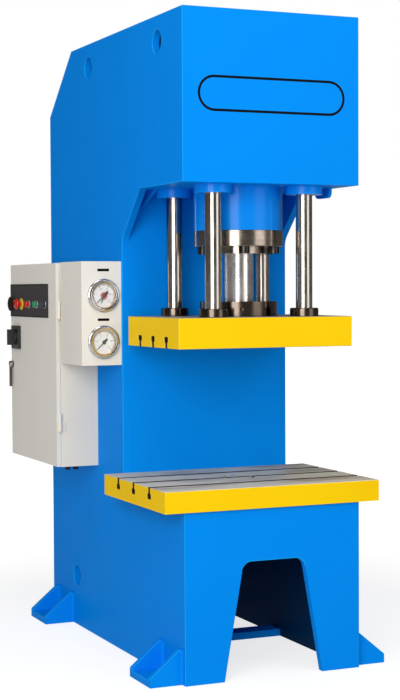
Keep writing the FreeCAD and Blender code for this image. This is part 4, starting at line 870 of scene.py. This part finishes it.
class PRESS_OT_controls(bpy.types.Operator):
    """Push buttons, selector, isolator and door handle"""

    bl_idname = "press.controls"
    bl_label = "Controls"

    def execute(self, context):
        self.heads()
        self.barrels()
        black = "black_plastic"
        for node, name, body, finish, slot, width, segments in (
                ("mode_selector", "selector_grip", "mode_selector", "navy_plastic", "grey_plastic",
                 1.0, 2),
                ("isolator_knob", "isolator_grip", "isolator_knob", black, black, 1.6, 3),
                ("isolator_plate", "isolator_base", "door", black, black, 1.5, 3),
                ("control_panel", "control_plate", "door", "panel_black", "panel_black", 0.6, 2)):
            softened(node, name, body, finish, width * MM, segments)
        self.handle()
        self.panel_border()
        return {"FINISHED"}

    def heads(self):
        """Domed heads of the palm button, the emergency stop and the two push buttons"""
        for node, finish, slot, dome in (("palm_button", "plum_plastic", "black_plastic", 11.0),
                                         ("emergency_stop", "red_plastic", "red_plastic", 12.0)):
            low, high = ends_of(node)
            r, rim = (high.z - low.z) / 2, low.x + dome
            shell = [(r * share, low.x + dome * depth) for share, depth in (
                (0.0, 0.0), (0.4, 0.04), (0.7, 0.16), (0.9, 0.38), (0.985, 0.62), (1.0, 0.78),
                (0.97, 0.95), (0.86, 1.0))]
            neck = [(9.5, rim), (8.6, rim + 2.5), (STEM, rim + 4.0)]
            self.button(node, node + "_head", finish, slot, shell + neck, 56)
        for node, finish, slot in (("stop_button", "red_plastic", "red_plastic"),
                                   ("start_button", "green_plastic", "green_plastic")):
            low, high = ends_of(node)
            r, front = (high.z - low.z) / 2, low.x
            cap = [(0.0, front + 0.5), (r * 0.6, front + 0.35), (r * 0.82, front),
                   (r * 0.94, front + 0.5), (r, front + 1.7), (r, front + 7.0),
                   (r * 0.55, front + 7.4), (STEM, front + 8.0)]
            self.button(node, node + "_cap", finish, slot, cap, 48)

    def button(self, node, name, finish, slot, profile, steps):
        """A button turned from a profile, with its stem run back to the end of the CAD node"""
        low, high = ends_of(node)
        centre = (0, (low.y + high.y) / 2, (low.z + high.z) / 2)
        bm = bmesh.new()
        turned(bm, [*profile, (STEM, high.x), (0.0, high.x)], centre, "X", steps=steps)
        write_piece(bm, name, node, finish, (node,), smooth=40.0)

    def barrels(self):
        """The fixed collars: yellow, olive at the palm button and bright at the small devices"""
        panel_face, proud = ends_of("control_panel")[0].x, 0.2
        wide_reach, small_reach = 30.0, 20.0
        bm = merged_copy("device_barrels")
        round_edges(bm, crisp(bm, 50.0), 0.5 * MM, 2)
        piece = write_piece(bm, "device_collars", "door", "black_plastic",
                            ("device_barrels",))
        mesh = piece.data
        for finish in ("yellow_plastic", "satin_ring", "olive_plastic"):
            mesh.materials.append(FINISHES[finish])
        yellow, satin, olive = 1, 2, 3
        wide = ((yellow, middle_of("emergency_stop").y), (olive, middle_of("palm_button").y))
        small = [middle_of(node).y for node in ("stop_button", "start_button", "mode_selector")]
        for face in mesh.polygons:
            centre = face.center / MM
            if centre.x > panel_face + proud:
                continue
            for index, y in wide:
                if abs(centre.y - y) < wide_reach:
                    face.material_index = index
            if min(abs(centre.y - y) for y in small) < small_reach:
                face.material_index = satin

    def panel_border(self):
        """A thin dark line round the control plate"""
        margin, line, proud, depth = 3.0, 2.2, 0.3, 0.6
        low, high = ends_of("control_panel")
        bm = bmesh.new()
        bmesh.ops.create_grid(bm, x_segments=1, y_segments=1, size=0.5)
        span = Vector((high.z - low.z - margin, high.y - low.y - margin, 1.0)) * MM
        bmesh.ops.scale(bm, vec=(span.x, span.y, 1.0), verts=bm.verts)
        inner = bmesh.ops.inset_region(bm, faces=bm.faces, thickness=line * MM, use_even_offset=True,
                                       use_boundary=True)["faces"]
        bmesh.ops.delete(bm, geom=[f for f in bm.faces if f not in inner], context="FACES")
        grown = bmesh.ops.extrude_face_region(bm, geom=list(bm.faces))["geom"]
        bmesh.ops.translate(bm, vec=(0, 0, depth * MM), verts=verts_in(grown))
        turn_about(bm, bm.verts, (0, 0, 0), 90.0)
        middle = Vector((low.x - proud, (low.y + high.y) / 2, (low.z + high.z) / 2)) * MM
        bmesh.ops.translate(bm, vec=middle, verts=bm.verts)
        bmesh.ops.recalc_face_normals(bm, faces=bm.faces)
        write_piece(bm, "panel_border_line", "door", "sign_black")

    def handle(self):
        """The door lock: a bright round head and a dark lever"""
        head_high, head_deep = 26.0, 6.5
        low, high = ends_of("door_handle")
        bm = merged_copy("door_handle")
        round_edges(bm, crisp(bm, 50.0), 0.8 * MM, 2)
        piece = write_piece(bm, "door_lock", "door_handle", "plum_plastic",
                            ("door_handle",))
        piece.data.materials.append(FINISHES["bright_bezel"])
        for face in piece.data.polygons:
            x, z = face.center.x / MM, face.center.z / MM
            if z > high.z - head_high and x < low.x + head_deep:
                face.material_index = 1


def outer_walls(node, near=2e-4):
    """A test that a point lies on a wall of a CAD node's box, any but the one that faces +X"""
    low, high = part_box(node)

    def test(p):
        gaps = (p.x - low.x, p.y - low.y, p.y - high.y, p.z - low.z, p.z - high.z)
        return min(abs(gap) for gap in gaps) < near

    return test


class PRESS_OT_cabinet(bpy.types.Operator):
    """The switch cabinet, its door and the gauge box with folded edges"""

    bl_idname = "press.cabinet"
    bl_label = "Cabinet"

    def execute(self, context):
        edge = context.scene.press_sizes.sheet_edge
        for node, body, coat in (("cabinet_box", "frame", "cabinet_body_coat"),
                                 ("cabinet_door", "door", "cabinet_coat"),
                                 ("gauge_box", "frame", "cabinet_coat")):
            softened(node, node + "_shell", body, coat, edge, 3,
                     both(outer_walls(node)), 50.0)
        return {"FINISHED"}


class PRESS_OT_stage(bpy.types.Operator):
    """The pale floor, the soft lights and the camera"""

    bl_idname = "press.stage"
    bl_label = "Stage"

    def execute(self, context):
        scene = context.scene
        scene.view_settings.view_transform = "Standard"
        self.lay_floor(scene, self.floor_finish())
        self.light_world(scene)
        self.soft_box(scene, "left_box", (-3.35, -4.4, 2.3), (0.0, 0.0, 1.2), 3.0, 3.4, 176.0)
        self.soft_box(scene, "right_box", (2.6, -4.4, 2.3), (0.0, 0.0, 1.3), 2.4, 3.4, 40.0)
        self.soft_box(scene, "top_box", (-0.7, -2.0, 4.6), (0.0, -0.4, 0.7), 2.4, 2.4, 42.0)
        self.aim_camera(scene)
        return {"FINISHED"}

    def floor_finish(self):
        """A matt floor that fades to white away from the press, as the camera sees it"""
        tree, shader = start_finish("pale_floor")
        base_glow, glow, fade = 0.26, (0.50, 0.80), (1.2, 3.6)
        ground = place(tree)
        away = reach_of(tree, part_of(tree, ground, 0), part_of(tree, ground, 1))
        seen_glow = spread(tree, away, *glow, fade)
        shown = maths(tree, "MULTIPLY", add(tree, "LightPath", {}, "Is Camera Ray"), seen_glow)
        feed(tree, shader, {"Base Color": (0.38, 0.38, 0.38), "Roughness": 0.9,
                            "Specular IOR Level": 0.1, "Emission Color": (1.0, 1.0, 1.0),
                            "Emission Strength": maths(tree, "ADD", base_glow, shown)})
        return FINISHES["pale_floor"]

    def lay_floor(self, scene, material):
        """A wide flat square under the press"""
        bm = bmesh.new()
        bmesh.ops.create_grid(bm, x_segments=1, y_segments=1, size=30.0)
        mesh = bpy.data.meshes.new("floor")
        bm.to_mesh(mesh)
        bm.free()
        mesh.materials.append(material)
        floor = bpy.data.objects.new("floor", mesh)
        scene.collection.objects.link(floor)

    def light_world(self, scene):
        """White to the camera, dim and warm in reflections, and a soft fill on the rest"""
        world = bpy.data.worlds.new("studio")
        scene.world = world
        world.use_nodes = True
        tree = world.node_tree
        tree.nodes.clear()
        output = tree.nodes.new("ShaderNodeOutputWorld")
        layers = self.background(tree, (1.0, 1.0, 1.0), 0.27)
        for kind, colour, strength in (("Is Glossy Ray", (1.0, 0.96, 0.92), 0.10),
                                       ("Is Camera Ray", (1.0, 1.0, 1.0), 1.0)):
            above = self.background(tree, colour, strength)
            layers = add(tree, "MixShader", {0: add(tree, "LightPath", {}, kind), 1: layers, 2: above})
        feed(tree, output, {"Surface": layers})

    def background(self, tree, colour, strength):
        """An even background of one colour"""
        return add(tree, "Background", {"Color": colour, "Strength": strength})

    def soft_box(self, scene, name, at, aim, width, height, power):
        """An area light that faces a point, in metres and watts"""
        light = bpy.data.lights.new(name, "AREA")
        light.shape = "RECTANGLE"
        light.size = width
        light.size_y = height
        light.energy = power
        lamp = bpy.data.objects.new(name, light)
        scene.collection.objects.link(lamp)
        lamp.location = at
        lamp.rotation_euler = (Vector(aim) - Vector(at)).to_track_quat("-Z", "Y").to_euler()

    def aim_camera(self, scene):
        """The camera, left of the press and a little above its middle"""
        camera = bpy.data.cameras.new("camera")
        camera.lens = 81.85
        camera.sensor_width = 36.0
        camera.clip_start = 0.05
        camera.clip_end = 100.0
        spot = (-2.2707, -5.2561, 1.2652)
        turn, tilt, roll = (math.radians(angle) for angle in (-23.575, 2.228, -0.28))
        flat = math.cos(tilt)
        back = Vector((math.sin(turn) * flat, -math.cos(turn) * flat, math.sin(tilt)))
        right = (-back).cross(Vector((0, 0, 1))).normalized()
        up = right.cross(-back)
        side = right * math.cos(roll) + up * math.sin(roll)
        head = up * math.cos(roll) - right * math.sin(roll)
        eye = bpy.data.objects.new("camera", camera)
        scene.collection.objects.link(eye)
        rows = [(side[i], head[i], back[i], spot[i]) for i in range(3)]
        eye.matrix_world = Matrix((*rows, (0, 0, 0, 1)))
        scene.camera = eye


STEPS = (
    PRESS_OT_finishes, PRESS_OT_plain_nodes, PRESS_OT_frame_plates, PRESS_OT_head_oval,
    PRESS_OT_feet, PRESS_OT_platen_and_table, PRESS_OT_turned_rings, PRESS_OT_cabinet,
    PRESS_OT_gauges, PRESS_OT_controls, PRESS_OT_stage,
)


class PRESS_PT_panel(bpy.types.Panel):
    """Lists the press's sizes, colours and steps"""

    bl_idname = "PRESS_PT_panel"
    bl_label = "Hydraulic press"
    bl_space_type = "VIEW_3D"
    bl_region_type = "UI"
    bl_category = "Press"

    def draw(self, context):
        layout = self.layout
        for group in (context.scene.press_finish, context.scene.press_sizes):
            for name in group.__annotations__:
                layout.prop(group, name)
        for step in STEPS:
            layout.operator(step.bl_idname)


CLASSES = (PRESS_PG_finish, PRESS_PG_sizes, *STEPS, PRESS_PT_panel)


def register():
    """Adds the classes and the scene's settings"""
    for item in CLASSES:
        bpy.utils.register_class(item)
    bpy.types.Scene.press_finish = PointerProperty(type=PRESS_PG_finish)
    bpy.types.Scene.press_sizes = PointerProperty(type=PRESS_PG_sizes)


def unregister():
    """Takes the settings and the classes away again"""
    del bpy.types.Scene.press_sizes
    del bpy.types.Scene.press_finish
    for item in reversed(CLASSES):
        bpy.utils.unregister_class(item)


def main():
    """Runs every step"""
    register()
    for step in STEPS:
        group, action = step.bl_idname.split(".")
        getattr(getattr(bpy.ops, group), action)()


if __name__ == "__main__":
    main()
